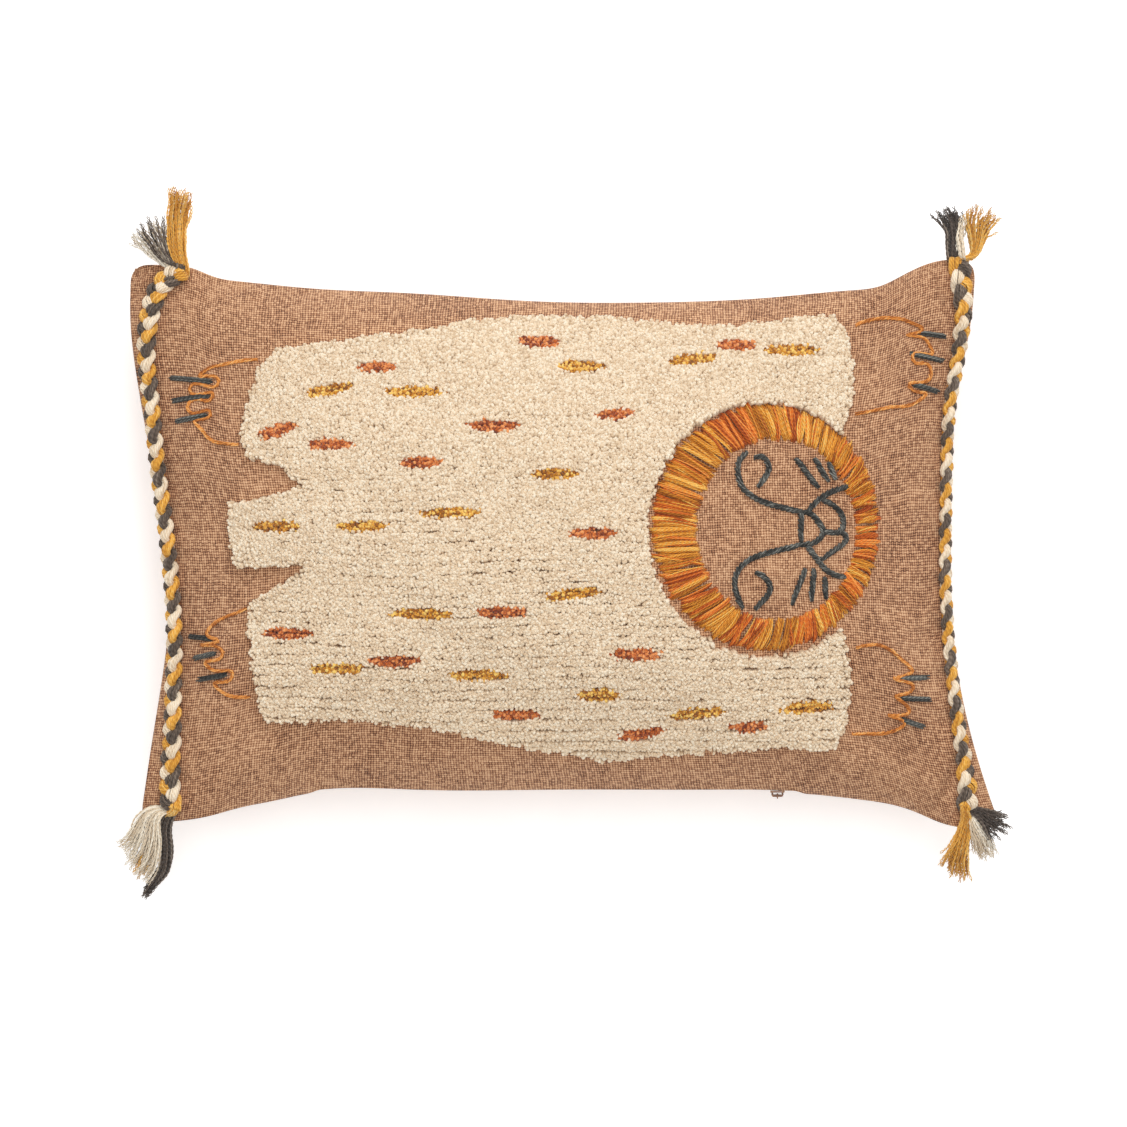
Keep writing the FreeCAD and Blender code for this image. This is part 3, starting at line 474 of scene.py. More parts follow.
def tubes(paths, radii, tints, sides=6):
    """Closed round yarns along many paths of equal point count: vertices, faces and yarn values."""
    many, count, _ = paths.shape
    _, across, up = frames(paths)
    radii = np.broadcast_to(radii, (many, count))
    angle = np.arange(sides) * 2 * math.pi / sides
    ring = (np.cos(angle)[:, None] * across[:, :, None, :] + np.sin(angle)[:, None] * up[:, :, None, :])
    vertices = paths[:, :, None, :] + radii[:, :, None, None] * ring
    base = np.arange(many)[:, None, None] * (count * sides)
    quads = (grid_quads(count, sides, wrap=True)[None] + base).reshape(-1, 4)
    ends = np.stack([np.arange(sides)[::-1], (count - 1) * sides + np.arange(sides)])
    caps = (ends[None] + base).reshape(-1, sides)
    steps = np.linalg.norm(np.diff(paths, axis=1), axis=-1)
    run = np.concatenate([np.zeros((many, 1)), np.cumsum(steps, axis=1)], axis=1) * MM
    tints = np.asarray(tints, float).reshape(-1, 1, 1)
    values = np.zeros((many, count, sides, 3))
    values[..., 0] = run[:, :, None] + tints
    values[..., 1] = angle / (2 * math.pi)
    values[..., 2] = tints
    return vertices.reshape(-1, 3), [quads, caps], values.reshape(-1, 3)


def add(name, data):
    """New object in the scene."""
    made = bpy.data.objects.new(name, data)
    bpy.context.scene.collection.objects.link(made)
    return made


def piece(name, vertices, faces, material, slot, nodes=(), body="pillow", **attributes):
    """Mesh object in metres from vertices in millimetres, riding on a body in place of CAD nodes."""
    mesh = bpy.data.meshes.new(name)
    mesh.vertices.add(len(vertices))
    mesh.vertices.foreach_set("co", (np.asarray(vertices) * MM).astype(np.float32).ravel())
    loops = np.concatenate([f.ravel() for f in faces]).astype(np.int32)
    sizes = np.concatenate([np.full(len(f), f.shape[1]) for f in faces])
    starts = np.concatenate([[0], np.cumsum(sizes)[:-1]]).astype(np.int32)
    mesh.loops.add(len(loops))
    mesh.loops.foreach_set("vertex_index", loops)
    mesh.polygons.add(len(sizes))
    mesh.polygons.foreach_set("loop_start", starts)
    mesh.update(calc_edges=True)
    mesh.polygons.foreach_set("use_smooth", np.ones(len(sizes), bool))
    for key, values in attributes.items():
        made = mesh.attributes.new(key, "FLOAT_VECTOR", "POINT")
        made.data.foreach_set("vector", np.asarray(values, np.float32).ravel())
    mesh.validate()
    mesh.materials.append(material)
    made = add(name, mesh)
    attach(made, body)
    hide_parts(*nodes)
    return made


# ---------------------------------------------------------------- materials
# Noise scales are in waves per metre, and depths of relief in metres.

def shader(name, roughness, **sockets):
    """New material, with its node tree and its surface shader, whose constant sockets are set."""
    material = bpy.data.materials.new(name)
    material.use_nodes = True
    tree = material.node_tree
    surface = tree.nodes["Principled BSDF"]
    surface.inputs["Roughness"].default_value = roughness
    for key, value in sockets.items():
        surface.inputs[key.replace("_", " ")].default_value = value
    return material, tree, surface


def node(tree, kind, values=None, **settings):
    """New node: its settings, and its inputs by name or number, as links or constants."""
    made = tree.nodes.new("ShaderNode" + kind)
    for key, value in settings.items():
        setattr(made, key, value)
    for key, value in (values or {}).items():
        if isinstance(value, bpy.types.NodeSocket):
            tree.links.new(value, made.inputs[key])
        else:
            made.inputs[key].default_value = value
    return made


def maths(tree, operation, a, b=0.0, c=0.0):
    """Result of one sum."""
    return node(tree, "Math", {0: a, 1: b, 2: c}, operation=operation).outputs[0]


def mix(tree, start, *parts):
    """A number plus values, each times its weight."""
    total = start
    for value, weight in parts:
        total = maths(tree, "MULTIPLY_ADD", value, weight, total)
    return total


def wave(tree, place, spacing):
    """Sine of a coordinate, with half a wave in each spacing."""
    return maths(tree, "SINE", maths(tree, "MULTIPLY", place, math.pi / spacing))


def linear(byte):
    """Linear value of an sRGB byte."""
    c = byte / 255.0
    return c / 12.92 if c <= 0.04045 else ((c + 0.055) / 1.055) ** 2.4


def paint(tree, surface, factor, *stops):
    """Base colour that runs through stops of (position, (red, green, blue)), given as sRGB bytes."""
    ramp = node(tree, "ValToRGB", {"Fac": factor})
    elements = ramp.color_ramp.elements
    while len(elements) < len(stops):
        elements.new(0.5)
    for element, (at, colour) in zip(elements, stops):
        element.position = at
        element.color = tuple(linear(c) for c in colour) + (1.0,)
    tree.links.new(ramp.outputs["Color"], surface.inputs["Base Color"])


def noise(tree, vector, scale, detail=2.0):
    """Noise value over a vector."""
    return node(tree, "TexNoise", {"Vector": vector, "Scale": scale, "Detail": detail}).outputs["Fac"]


def grain(tree, scale, detail=2.0):
    """Noise value over the object's own space."""
    return noise(tree, node(tree, "TexCoord").outputs["Object"], scale, detail)


def vectors(tree, operation, values):
    """Result of one sum of vectors."""
    return node(tree, "VectorMath", values, operation=operation).outputs[0]


def attribute(tree, name):
    """A mesh attribute as a vector, and its three parts."""
    vector = node(tree, "Attribute", attribute_name=name).outputs["Vector"]
    return vector, node(tree, "SeparateXYZ", {0: vector}).outputs


def bump(tree, surface, height, distance):
    """Relief on a surface from a height value, with its full depth in metres."""
    made = node(tree, "Bump", {"Height": height, "Distance": distance, "Strength": 1.0})
    tree.links.new(made.outputs[0], surface.inputs["Normal"])


def cloth_material(name, gap, shade, mid, light):
    """Slub yarn in plain weave over the cloth's own coordinates, with painted shade where threads pass under
    others and darkest in the gaps between them.
    """
    material, tree, surface = shader(name, 0.95, Sheen_Weight=0.08, Sheen_Roughness=0.5)
    at, _ = attribute(tree, "cloth")
    stray = node(tree, "TexNoise", {"Vector": at, "Scale": 45.0, "Detail": 1.0}).outputs["Color"]
    stray = vectors(tree, "SUBTRACT", {0: stray, 1: (0.5, 0.5, 0.5)})
    moved = vectors(tree, "ADD", {0: at, 1: vectors(tree, "SCALE", {0: stray, "Scale": THREAD_STRAY})})
    place = node(tree, "SeparateXYZ", {0: moved}).outputs
    warp, weft = (wave(tree, place[axis], WEAVE_PITCH * MM) for axis in "XY")
    over = maths(tree, "MULTIPLY", warp, weft)
    tops = []
    for thread, side, stretch in ((warp, THREAD_DIP, (1000.0 / WEAVE_PITCH, SLUB_SCALE, 1.0)),
                                  (weft, -THREAD_DIP, (SLUB_SCALE, 1000.0 / WEAVE_PITCH, 1.0))):
        top = maths(tree, "MULTIPLY", maths(tree, "ABSOLUTE", thread),
                    maths(tree, "MULTIPLY_ADD", over, side, 1 - THREAD_DIP))
        slub = noise(tree, node(tree, "Mapping", {"Vector": moved, "Scale": stretch}).outputs[0], 1.0)
        tops.append(maths(tree, "MULTIPLY", top, maths(tree, "ADD", slub, 0.5)))
    height = maths(tree, "MAXIMUM", *tops)
    crossing = vectors(tree, "SNAP", {0: moved, 1: (WEAVE_PITCH * MM, WEAVE_PITCH * MM, 1.0)})
    crossing = node(tree, "TexWhiteNoise", {"Vector": crossing}).outputs["Value"]
    # Painted shade from the weave's relief (gap and shade colours where threads dip and part), with random
    # tone by crossing and over the cloth.
    tone = mix(tree, -0.52, (height, 0.9), (crossing, 0.4), (noise(tree, at, 14.0, 3.0), 0.34),
               (noise(tree, at, 1300.0), 0.3))
    paint(tree, surface, tone, (0.1, gap), (0.3, shade), (0.56, mid), (1.0, light))
    bump(tree, surface, height, 0.0004)
    return material


def yarn_material(name, dark, mid, light, sheen=0.3, ply=0.12):
    """Cotton yarn: tint of each yarn, the lines of its twisted plies, and fuzz."""
    material, tree, surface = shader(name, 0.88, Sheen_Weight=sheen, Sheen_Roughness=0.45)
    _, (run, turn, tint) = attribute(tree, "yarn")
    fibre = maths(tree, "SINE", mix(tree, 0.0, (run, 2 * math.pi * PLY_LINES), (turn, 4 * math.pi)))
    fuzz = grain(tree, 1400.0)
    tone = mix(tree, -0.255, (tint, 0.62), (fibre, ply), (fuzz, 0.35), (grain(tree, 120.0), 0.3))
    paint(tree, surface, tone, (0.05, dark), (0.5, mid), (0.95, light))
    bump(tree, surface, mix(tree, 0.0, (fibre, 0.5), (fuzz, 1.0)), 0.00025)
    return material


def pile_material(name, root, dark, mid, light, vary=0.38):
    """Cut yarn ends, each with its own tint, painted darker towards the root as painted shade between the
    buds.
    """
    material, tree, surface = shader(name, 0.92, Sheen_Weight=0.3, Sheen_Roughness=0.5)
    _, (rise, _, tint) = attribute(tree, "yarn")
    fuzz = grain(tree, 1200.0, 3.0)
    # rise runs from 0 at a bud's foot to 1 at its tip: painted shade that darkens each end towards the root
    # colour
    tone = mix(tree, -0.32 - vary / 2, (tint, vary), (fuzz, 1.1), (rise, 0.3))
    paint(tree, surface, tone, (0.0, root), (0.22, dark), (0.5, mid), (0.85, light))
    bump(tree, surface, fuzz, 0.0009)
    return material


def tape_material():
    """Closely woven polyester tape."""
    material, tree, surface = shader("woven_tape", 0.75, Sheen_Weight=0.15)
    place = node(tree, "SeparateXYZ", {0: node(tree, "TexCoord").outputs["Object"]}).outputs
    tone = mix(tree, 0.0, (wave(tree, place["X"], 0.0004), 0.2), (grain(tree, 1800.0), 1.0))
    paint(tree, surface, tone, (0.2, (92, 62, 44)), (0.8, (140, 101, 77)))
    bump(tree, surface, tone, 0.0002)
    return material


def coil_material():
    """Dyed nylon, slightly glossy."""
    material, tree, surface = shader("nylon_coil", 0.35, Coat_Weight=0.2)
    fuzz = grain(tree, 700.0)
    paint(tree, surface, fuzz, (0.3, (98, 66, 47)), (0.7, (128, 90, 67)))
    tree.links.new(mix(tree, 0.2, (fuzz, 0.3)), surface.inputs["Roughness"])
    bump(tree, surface, fuzz, 0.00005)
    return material


def lacquer_material():
    """Metal lacquered to match the cloth, paler on its sharp edges."""
    material, tree, surface = shader("lacquered_metal", 0.35, Coat_Weight=0.3)
    speck = grain(tree, 900.0, 3.0)
    edge = node(tree, "NewGeometry").outputs["Pointiness"]
    tone = mix(tree, -1.5, (grain(tree, 260.0, 3.0), 0.7), (edge, 3.0))
    paint(tree, surface, tone, (0.15, (98, 64, 44)), (0.5, (140, 98, 72)), (0.85, (176, 136, 104)))
    tree.links.new(mix(tree, 0.2, (speck, 0.3)), surface.inputs["Roughness"])
    bump(tree, surface, speck, 0.00004)
    return material


def lining_material():
    """Non-woven lining with its pressed dots."""
    material, tree, surface = shader("lining", 0.85)
    place = node(tree, "TexCoord").outputs["Object"]
    dots = node(tree, "TexVoronoi", {"Vector": place, "Scale": 500.0}).outputs["Distance"]
    tone = mix(tree, 0.0, (dots, 0.5), (grain(tree, 900.0, 4.0), 0.6))
    paint(tree, surface, tone, (0.1, (206, 204, 198)), (0.8, (238, 236, 231)))
    bump(tree, surface, tone, 0.0002)
    return material


def filling_material():
    """Loose polyester fibre."""
    material, tree, surface = shader("fibre", 0.95, Sheen_Weight=0.5)
    fibre = grain(tree, 90.0, 8.0)
    paint(tree, surface, fibre, (0.3, (214, 214, 212)), (0.7, (247, 247, 245)))
    bump(tree, surface, fibre, 0.004)
    return material


# The cloth's gap and shade colours are painted shade in the weave.
CLAY = cloth_material("slub_cotton", (62, 32, 18), (134, 88, 61), (184, 134, 98), (228, 186, 147))
# The first colour of each pile is the painted shade at its buds' feet.
CREAM_PILE = pile_material("cream_pile", (158, 124, 88), (211, 182, 146), (240, 217, 186), (255, 246, 226))
RUST_PILE = pile_material("rust_pile", (84, 22, 0), (140, 56, 10), (204, 104, 34), (246, 166, 98), 0.75)
OCHRE_PILE = pile_material("ochre_pile", (86, 40, 0), (156, 88, 4), (222, 150, 30), (252, 214, 116), 0.75)
OCHRE_MANE = yarn_material("ochre_mane", (146, 72, 2), (236, 156, 42), (255, 226, 132), 0.1, 0.16)
RUST_MANE = yarn_material("rust_mane", (138, 50, 0), (226, 114, 26), (255, 184, 92), 0.1, 0.16)
CHARCOAL_THREAD = yarn_material("charcoal_thread", (22, 22, 20), (70, 70, 66), (152, 152, 144), 0.15, 0.16)
ORANGE_THREAD = yarn_material("orange_thread", (148, 76, 16), (224, 142, 60), (252, 206, 134), 0.15, 0.16)
CREAM_YARN = yarn_material("cream_yarn", (200, 172, 138), (240, 221, 193), (255, 248, 232))
OCHRE_YARN = yarn_material("ochre_yarn", (170, 104, 16), (232, 172, 68), (255, 222, 146), 0.15)
CHARCOAL_YARN = yarn_material("charcoal_yarn", (48, 38, 30), (102, 87, 75), (172, 155, 138), 0.2)
BRAID_MATERIALS = {"cream": CREAM_YARN, "ochre": OCHRE_YARN, "charcoal": CHARCOAL_YARN}
# Copies of the braid yarns, painted mostly lighter: painted light on the thin loose strands, against the
# shade among them.
LIT_FRINGE_MATERIALS = {
    "cream": yarn_material("cream_yarn_ends_lit", (216, 192, 160), (250, 236, 212), (255, 252, 244)),
    "ochre": yarn_material("ochre_yarn_ends_lit", (190, 120, 24), (244, 186, 84), (255, 230, 164), 0.15),
    "charcoal": yarn_material("charcoal_yarn_ends_lit", (44, 36, 30), (98, 84, 74), (178, 162, 146), 0.2)}
TAPE = tape_material()
COIL = coil_material()
LACQUER = lacquer_material()


# ---------------------------------------------------------------- cover

def plan(a, b):
    """Plan positions over the cloth, at shares a along X and b along Y."""
    lower, upper = (spline(edge, a.ravel()).reshape(a.shape + (2,)) for edge in (LOWER_EDGE, UPPER_EDGE))
    left, right = (spline(edge, b.ravel()).reshape(b.shape + (2,)) for edge in (LEFT_EDGE, RIGHT_EDGE))
    wa, wb = a[..., None], b[..., None]
    return lower * (1 - wb) + upper * wb + left * (1 - wa) + right * wa - flat_cut(a, b)


def cut_grid(size):
    """Places on the flat cloth over a panel's grid."""
    x, y = (np.linspace(0, length, n + 1) for length, n in zip((CUT_WIDTH, CUT_HEIGHT), size))
    return np.meshgrid(x, y, indexing="ij")


def rounded(size):
    """Cloth shares over a panel's grid, with its four corners rounded off."""
    x, y = cut_grid(size)
    in_x = CORNER_RADIUS - np.minimum(x, CUT_WIDTH - x)
    in_y = CORNER_RADIUS - np.minimum(y, CUT_HEIGHT - y)
    both = (in_x > 0) & (in_y > 0)
    far = np.where(both, np.hypot(in_x, in_y), 1.0)
    shrink = np.where(both, np.maximum(in_x, in_y) / np.maximum(far, 1e-9), 1.0)
    x = x + np.where(both, in_x * (1 - shrink), 0) * np.where(x < CUT_WIDTH / 2, 1, -1)
    y = y + np.where(both, in_y * (1 - shrink), 0) * np.where(y < CUT_HEIGHT / 2, 1, -1)
    return x / CUT_WIDTH, y / CUT_HEIGHT


def flat_cut(a, b):
    """The same cloth before it was filled: a plain four-sided cut."""
    corners = np.array([LOWER_EDGE[0], LOWER_EDGE[-1], UPPER_EDGE[0], UPPER_EDGE[-1]], float)
    wa, wb = a[..., None], b[..., None]
    return (corners[0] * (1 - wa) * (1 - wb) + corners[1] * wa * (1 - wb)
            + corners[2] * (1 - wa) * wb + corners[3] * wa * wb)


def crowned(plan_points, sign):
    """Start of the simulation: a panel that already bulges, with its lip opened along the zip."""
    na, nb, _ = plan_points.shape
    u = np.linspace(-1, 1, na)[:, None]
    v = np.linspace(-1, 1, nb)[None, :]
    rise = RISE * ((1 - u * u) * (1 - v * v)) ** ROUNDNESS
    out = np.concatenate([plan_points, (SEAM_Z + sign * rise)[..., None]], axis=-1)
    lip = np.clip((LIP_HALF_LENGTH + LIP_RUN_OUT - np.abs(out[:, 0, 0])) / LIP_RUN_OUT, 0, 1)
    lip = lip * lip * (3 - 2 * lip)
    out[:, 0, 2] += sign * LIP_HALF_HEIGHT * lip
    out[:, 0, 1] += LIP_DRAWN_IN * lip
    return out


def inflate(starts, flat):
    """Blender's cloth simulation of both panels, held at the seam and blown up by the filling."""
    na, nb = starts[0].shape[:2]
    count = na * nb
    vertices = np.concatenate([s.reshape(-1, 3) for s in starts]) * MM
    rest = np.concatenate([flat.reshape(-1, 2), np.full((count, 1), SEAM_Z)], axis=1) * MM
    front = grid_quads(na, nb)[:, ::-1]
    faces = np.concatenate([front, front[:, ::-1] + count])
    mesh = bpy.data.meshes.new("cover_sim")
    mesh.from_pydata(vertices.tolist(), [], faces.tolist())
    cover = add("cover_sim", mesh)
    cover.shape_key_add(name="Basis")
    key = cover.shape_key_add(name="flat")
    key.data.foreach_set("co", np.concatenate([rest, rest]).astype(np.float32).ravel())
    seam = np.zeros((na, nb), bool)
    seam[0] = seam[-1] = seam[:, 0] = seam[:, -1] = True
    held = np.flatnonzero(np.concatenate([seam.ravel(), seam.ravel()]))
    cover.vertex_groups.new(name="seam").add(held.tolist(), 1.0, "REPLACE")
    cloth = cover.modifiers.new("cloth", "CLOTH")
    setting = cloth.settings
    setting.rest_shape_key = key
    setting.vertex_group_mass = "seam"
    for name, value in SIM_SETTINGS.items():
        setattr(setting, name, value)
    setting.effector_weights.gravity = 0.0
    cloth.collision_settings.use_collision = False
    cloth.collision_settings.use_self_collision = False
    scene = bpy.context.scene
    for step in range(1, SIM_FRAMES + 1):
        scene.frame_set(step)
    done = cover.evaluated_get(bpy.context.evaluated_depsgraph_get()).data
    co = np.zeros(len(done.vertices) * 3, np.float32)
    done.vertices.foreach_get("co", co)
    scene.frame_set(1)
    bpy.data.objects.remove(cover)
    co = co.reshape(2, na, nb, 3).astype(float) / MM
    return [co[0], co[1]]


def normals(grid, sign):
    """Outward directions over a panel's grid."""
    du = np.gradient(grid, axis=0)
    dv = np.gradient(grid, axis=1)
    return sign * unit(np.cross(du, dv))


def finer(grid, size):
    """A panel's grid on more points, along its smooth curves."""
    grid = spline(grid, np.linspace(0, 1, size[0] + 1))
    turned = spline(grid.transpose(1, 0, 2), np.linspace(0, 1, size[1] + 1))
    return turned.transpose(1, 0, 2)


def gathers(x, y, off, reach, spacing, seed):
    """Gathers over a panel that start at a seam, off away from its points, and fade out over a reach."""
    return np.exp(-off / reach) * (1 - np.exp(-off / GATHER_ROOT)) * ripple(x, y, spacing, seed)


def settled(grid, sign):
    """A simulated panel at its real crown, with lumps of filling, gathers at the seam and a flat rest."""
    rise = sign * (grid[..., 2] - SEAM_Z)
    grid[..., 2] = SEAM_Z + sign * rise * (RISE / rise.max())
    fine = finer(grid, FINE_GRID)
    x, y = cut_grid(FINE_GRID)
    from_x = np.minimum(x, CUT_WIDTH - x)
    from_y = np.minimum(y, CUT_HEIGHT - y)
    away = 1 - np.exp(-np.minimum(from_x, from_y) / FLAT_MARGIN)
    large, small = (ripple(x, y, spacing, seed + sign) for spacing, seed in zip(LUMP_SPACINGS, (11, 21)))
    bulk = LUMP * away * (large + SMALL_LUMP * small)
    long_side = gathers(x, y * GATHER_DRIFT, from_y, *LONG_GATHERS, 31 + sign)
    short_side = gathers(x * GATHER_DRIFT, y, from_x, *SHORT_GATHERS, 41 + sign)
    push = bulk + PUCKER * (long_side + short_side)
    if sign > 0:
        grooves = [(line, GROOVE, GROOVE_REACH) for line in BRAID_LINES.values()]
        for line, depth, reach in grooves + [(line, TUCK, TUCK_REACH) for line in TUCKS]:
            far, _ = rim(fine[..., 0], fine[..., 1], line + line[-2:0:-1])
            push = push - depth * np.exp(-(far / reach) ** 2) * away
    fine = fine + normals(fine, sign) * push[..., None]
    if sign < 0:
        z = fine[..., 2]
        z = (z + np.sqrt(z * z + REST_BLEND ** 2)) / 2
        fine[..., 2] = z - z.min()
    return fine


def cloth_at(size):
    """Cloth coordinates in metres over a panel's grid."""
    x, y = cut_grid(size)
    return np.stack([x, y, np.zeros_like(x)], axis=-1) * MM


def thicken(made, thickness):
    """Gives a cloth piece its thickness, inwards."""
    solid = made.modifiers.new("thickness", "SOLIDIFY")
    solid.thickness = thickness * MM
    solid.offset = -1.0


def make_cover():
    """Both panels; returns their grids."""
    a, b = rounded(SIM_GRID)
    starts = [crowned(plan(a, b), 1), crowned(plan(a, b), -1)]
    done = inflate(starts, flat_cut(a, b))
    panels = []
    for grid, sign, name in zip(done, (1, -1), ("front", "back")):
        fine = settled(grid, sign)
        quads = grid_quads(FINE_GRID[0] + 1, FINE_GRID[1] + 1)
        if sign > 0:
            quads = quads[:, ::-1]
        made = piece(name + "_panel_cloth", fine.reshape(-1, 3), [quads], CLAY, "clay_cloth",
                     [name + "_panel"], cloth=cloth_at(FINE_GRID).reshape(-1, 3))
        thicken(made, CLOTH)
        panels.append(fine)
    return panels


FRONT, BACK = make_cover()

# ---------------------------------------------------------------- places on the front panel

LATTICE_X, LATTICE_Y = (np.arange(-half, half + 0.1, LATTICE_STEP) for half in LATTICE_HALVES)


def height_lattice():
    """Height of the front panel over a plan lattice."""
    quads = grid_quads(FRONT.shape[0], FRONT.shape[1])
    tree = BVHTree.FromPolygons(FRONT.reshape(-1, 3).tolist(), quads.tolist())
    down = Vector((0, 0, -1))
    heights = np.full((len(LATTICE_X), len(LATTICE_Y)), SEAM_Z)
    for i, x in enumerate(LATTICE_X):
        for j, y in enumerate(LATTICE_Y):
            hit = tree.ray_cast(Vector((x, y, RAYS_FROM)), down)[0]
            if hit is not None:
                heights[i, j] = hit.z
    return heights


def blur(values):
    """Mean of each lattice value and its neighbours."""
    padded = np.pad(values, 1, mode="edge")
    rows, columns = values.shape
    return sum(padded[i:i + rows, j:j + columns] for i in range(3) for j in range(3)) / 9


HEIGHTS = height_lattice()
SLOPE_X, SLOPE_Y = (blur(s) for s in np.gradient(blur(HEIGHTS), LATTICE_STEP))


def looked_up(values, x, y):
    """Lattice values between the lattice points."""
    i = np.clip((x - LATTICE_X[0]) / LATTICE_STEP, 0, len(LATTICE_X) - 1.001)
    j = np.clip((y - LATTICE_Y[0]) / LATTICE_STEP, 0, len(LATTICE_Y) - 1.001)
    i0, j0 = i.astype(int), j.astype(int)
    di, dj = i - i0, j - j0
    return ((values[i0, j0] * (1 - di) + values[i0 + 1, j0] * di) * (1 - dj)
            + (values[i0, j0 + 1] * (1 - di) + values[i0 + 1, j0 + 1] * di) * dj)


def facing(x, y):
    """Outward direction of the front panel at plan positions."""
    slope = np.stack([-looked_up(SLOPE_X, x, y), -looked_up(SLOPE_Y, x, y), np.ones_like(x)], axis=-1)
    return unit(slope)


def above(x, y, height):
    """Points at a height off the front panel, over plan positions."""
    x, y = np.asarray(x, float), np.asarray(y, float)
    foot = np.stack([x, y, looked_up(HEIGHTS, x, y)], axis=-1)
    return foot + facing(x, y) * np.asarray(height, float)[..., None]


# ---------------------------------------------------------------- tufted lion

def drawn_in(points, share):
    """Pattern points as the filled panel holds them."""
    return [(x * share, y * share) for x, y in points]


def in_dash(x, y, dashes):
    """How far inside the nearest dash of a colour, in millimetres, plan points lie."""
    best = np.full(x.shape, -99.0)
    end_margin, side_margin = DASH_MARGINS
    for cx, cy, width, tilt in dashes:
        c, s = math.cos(math.radians(tilt)), math.sin(math.radians(tilt))
        dx, dy = x - cx * MOTIF_SHARE, y - cy * MOTIF_SHARE
        along = np.abs((dx * c + dy * s) / (width / 2 + end_margin))
        across = np.abs((dy * c - dx * s) / (DASH_HALF_HEIGHT + side_margin))
        best = np.maximum(best, (1 - along ** DASH_SQUARENESS - across ** 2) * DASH_HALF_HEIGHT)
    return best


def pile_ends():
    """Plan places of all the yarn ends, and the side of its row that each is on, from -1 to 1, times
    how much the gap to the next row shows there."""
    rng = np.random.default_rng(5)
    half = (ROW_LANES - 1) / 2
    ends = []
    for row in np.arange(*ROW_RANGE, ROW_STEP):
        for lane in range(ROW_LANES):
            x = np.arange(*END_RANGE, END_STEP) + rng.uniform(0, END_STEP)
            x = x + rng.normal(0, END_STRAY[0], x.shape)
            flat = np.full_like(x, row)
            uneven = ripple(x, flat * PARTED_UNLIKE, PARTED_SPACING, 73)
            parted = np.clip(PARTED - row / PARTED_RUN + PARTED_UNEVEN * uneven, 0, 1)
            side = lane - half
            y = row + ROW_WAVE[0] * ripple(x, flat, ROW_WAVE[1], 3)
            y = y + side * LANE_STEP * (1 - PARTING * parted) + rng.normal(0, END_STRAY[1], x.shape)
            kept = rng.uniform(0, 1, x.shape) > LOST_ENDS * parted * (abs(side) == half)
            ends.append(np.stack([x, y, side / half * parted])[:, kept])
    return np.concatenate(ends, axis=1)


def ends_mesh(x, y, edge, lean, scale, uneven, rng):
    """Cut yarn ends: rough buds with a narrower rim and a blunt tip, each leaning its own way."""
    count = len(x)
    up = facing(x, y)
    ahead = unit(np.cross(np.array([0.0, 1.0, 0.0]), up))
    across = np.cross(up, ahead)
    tall = PILE_HEIGHT * scale * rng.uniform(1 - uneven, BUD_TALLEST, count)
    thick = rng.uniform(*BUD_RADII, count) * (1 - BUD_NARROWED * np.abs(edge))
    off_x = rng.normal(0, BUD_LEAN[0], count) + lean[:, 0]
    off_y = rng.normal(0, BUD_LEAN[1], count) + lean[:, 1]
    foot = above(x, y, np.full(count, -BUD_SINK))
    spin = rng.uniform(0, 2 * math.pi, count)
    angle = spin[:, None] + np.arange(BUD_SIDES) * 2 * math.pi / BUD_SIDES
    rings = []
    for share, width in BUD_RINGS:
        wide = (thick * width)[:, None] * rng.uniform(*BUD_ROUGH, (count, BUD_SIDES))
        rise = (tall * share)[:, None] + rng.normal(0, RIM_STRAY, (count, BUD_SIDES)) * (share > 0)
        px = np.cos(angle) * wide + (off_x * tall * share)[:, None]
        py = np.sin(angle) * wide + (off_y * tall * share)[:, None]
        rings.append(foot[:, None] + px[..., None] * ahead[:, None] + py[..., None] * across[:, None]
                     + rise[..., None] * up[:, None])
    top = (foot + (off_x * tall)[:, None] * ahead + (off_y * tall)[:, None] * across + tall[:, None] * up)
    vertices = np.concatenate(rings + [top[:, None]], axis=1)
    per = 2 * BUD_SIDES + 1
    j = np.arange(BUD_SIDES)
    k = (j + 1) % BUD_SIDES
    quad = np.stack([j, k, k + BUD_SIDES, j + BUD_SIDES], axis=-1)
    fan = np.stack([j + BUD_SIDES, k + BUD_SIDES, np.full(BUD_SIDES, per - 1)], axis=-1)
    base = np.arange(count)[:, None, None] * per
    faces = [(quad[None] + base).reshape(-1, 4), (fan[None] + base).reshape(-1, 3)]
    values = np.zeros((count, per, 3))
    # Rise for the painted shade that darkens each bud towards its foot.
    values[:, BUD_SIDES:2 * BUD_SIDES, 0] = RIM_SHADE_LEVEL
    values[:, -1, 0] = 1.0
    values[..., 2] = rng.uniform(0, 1, (count, 1))
    return vertices.reshape(-1, 3), faces, values.reshape(-1, 3)


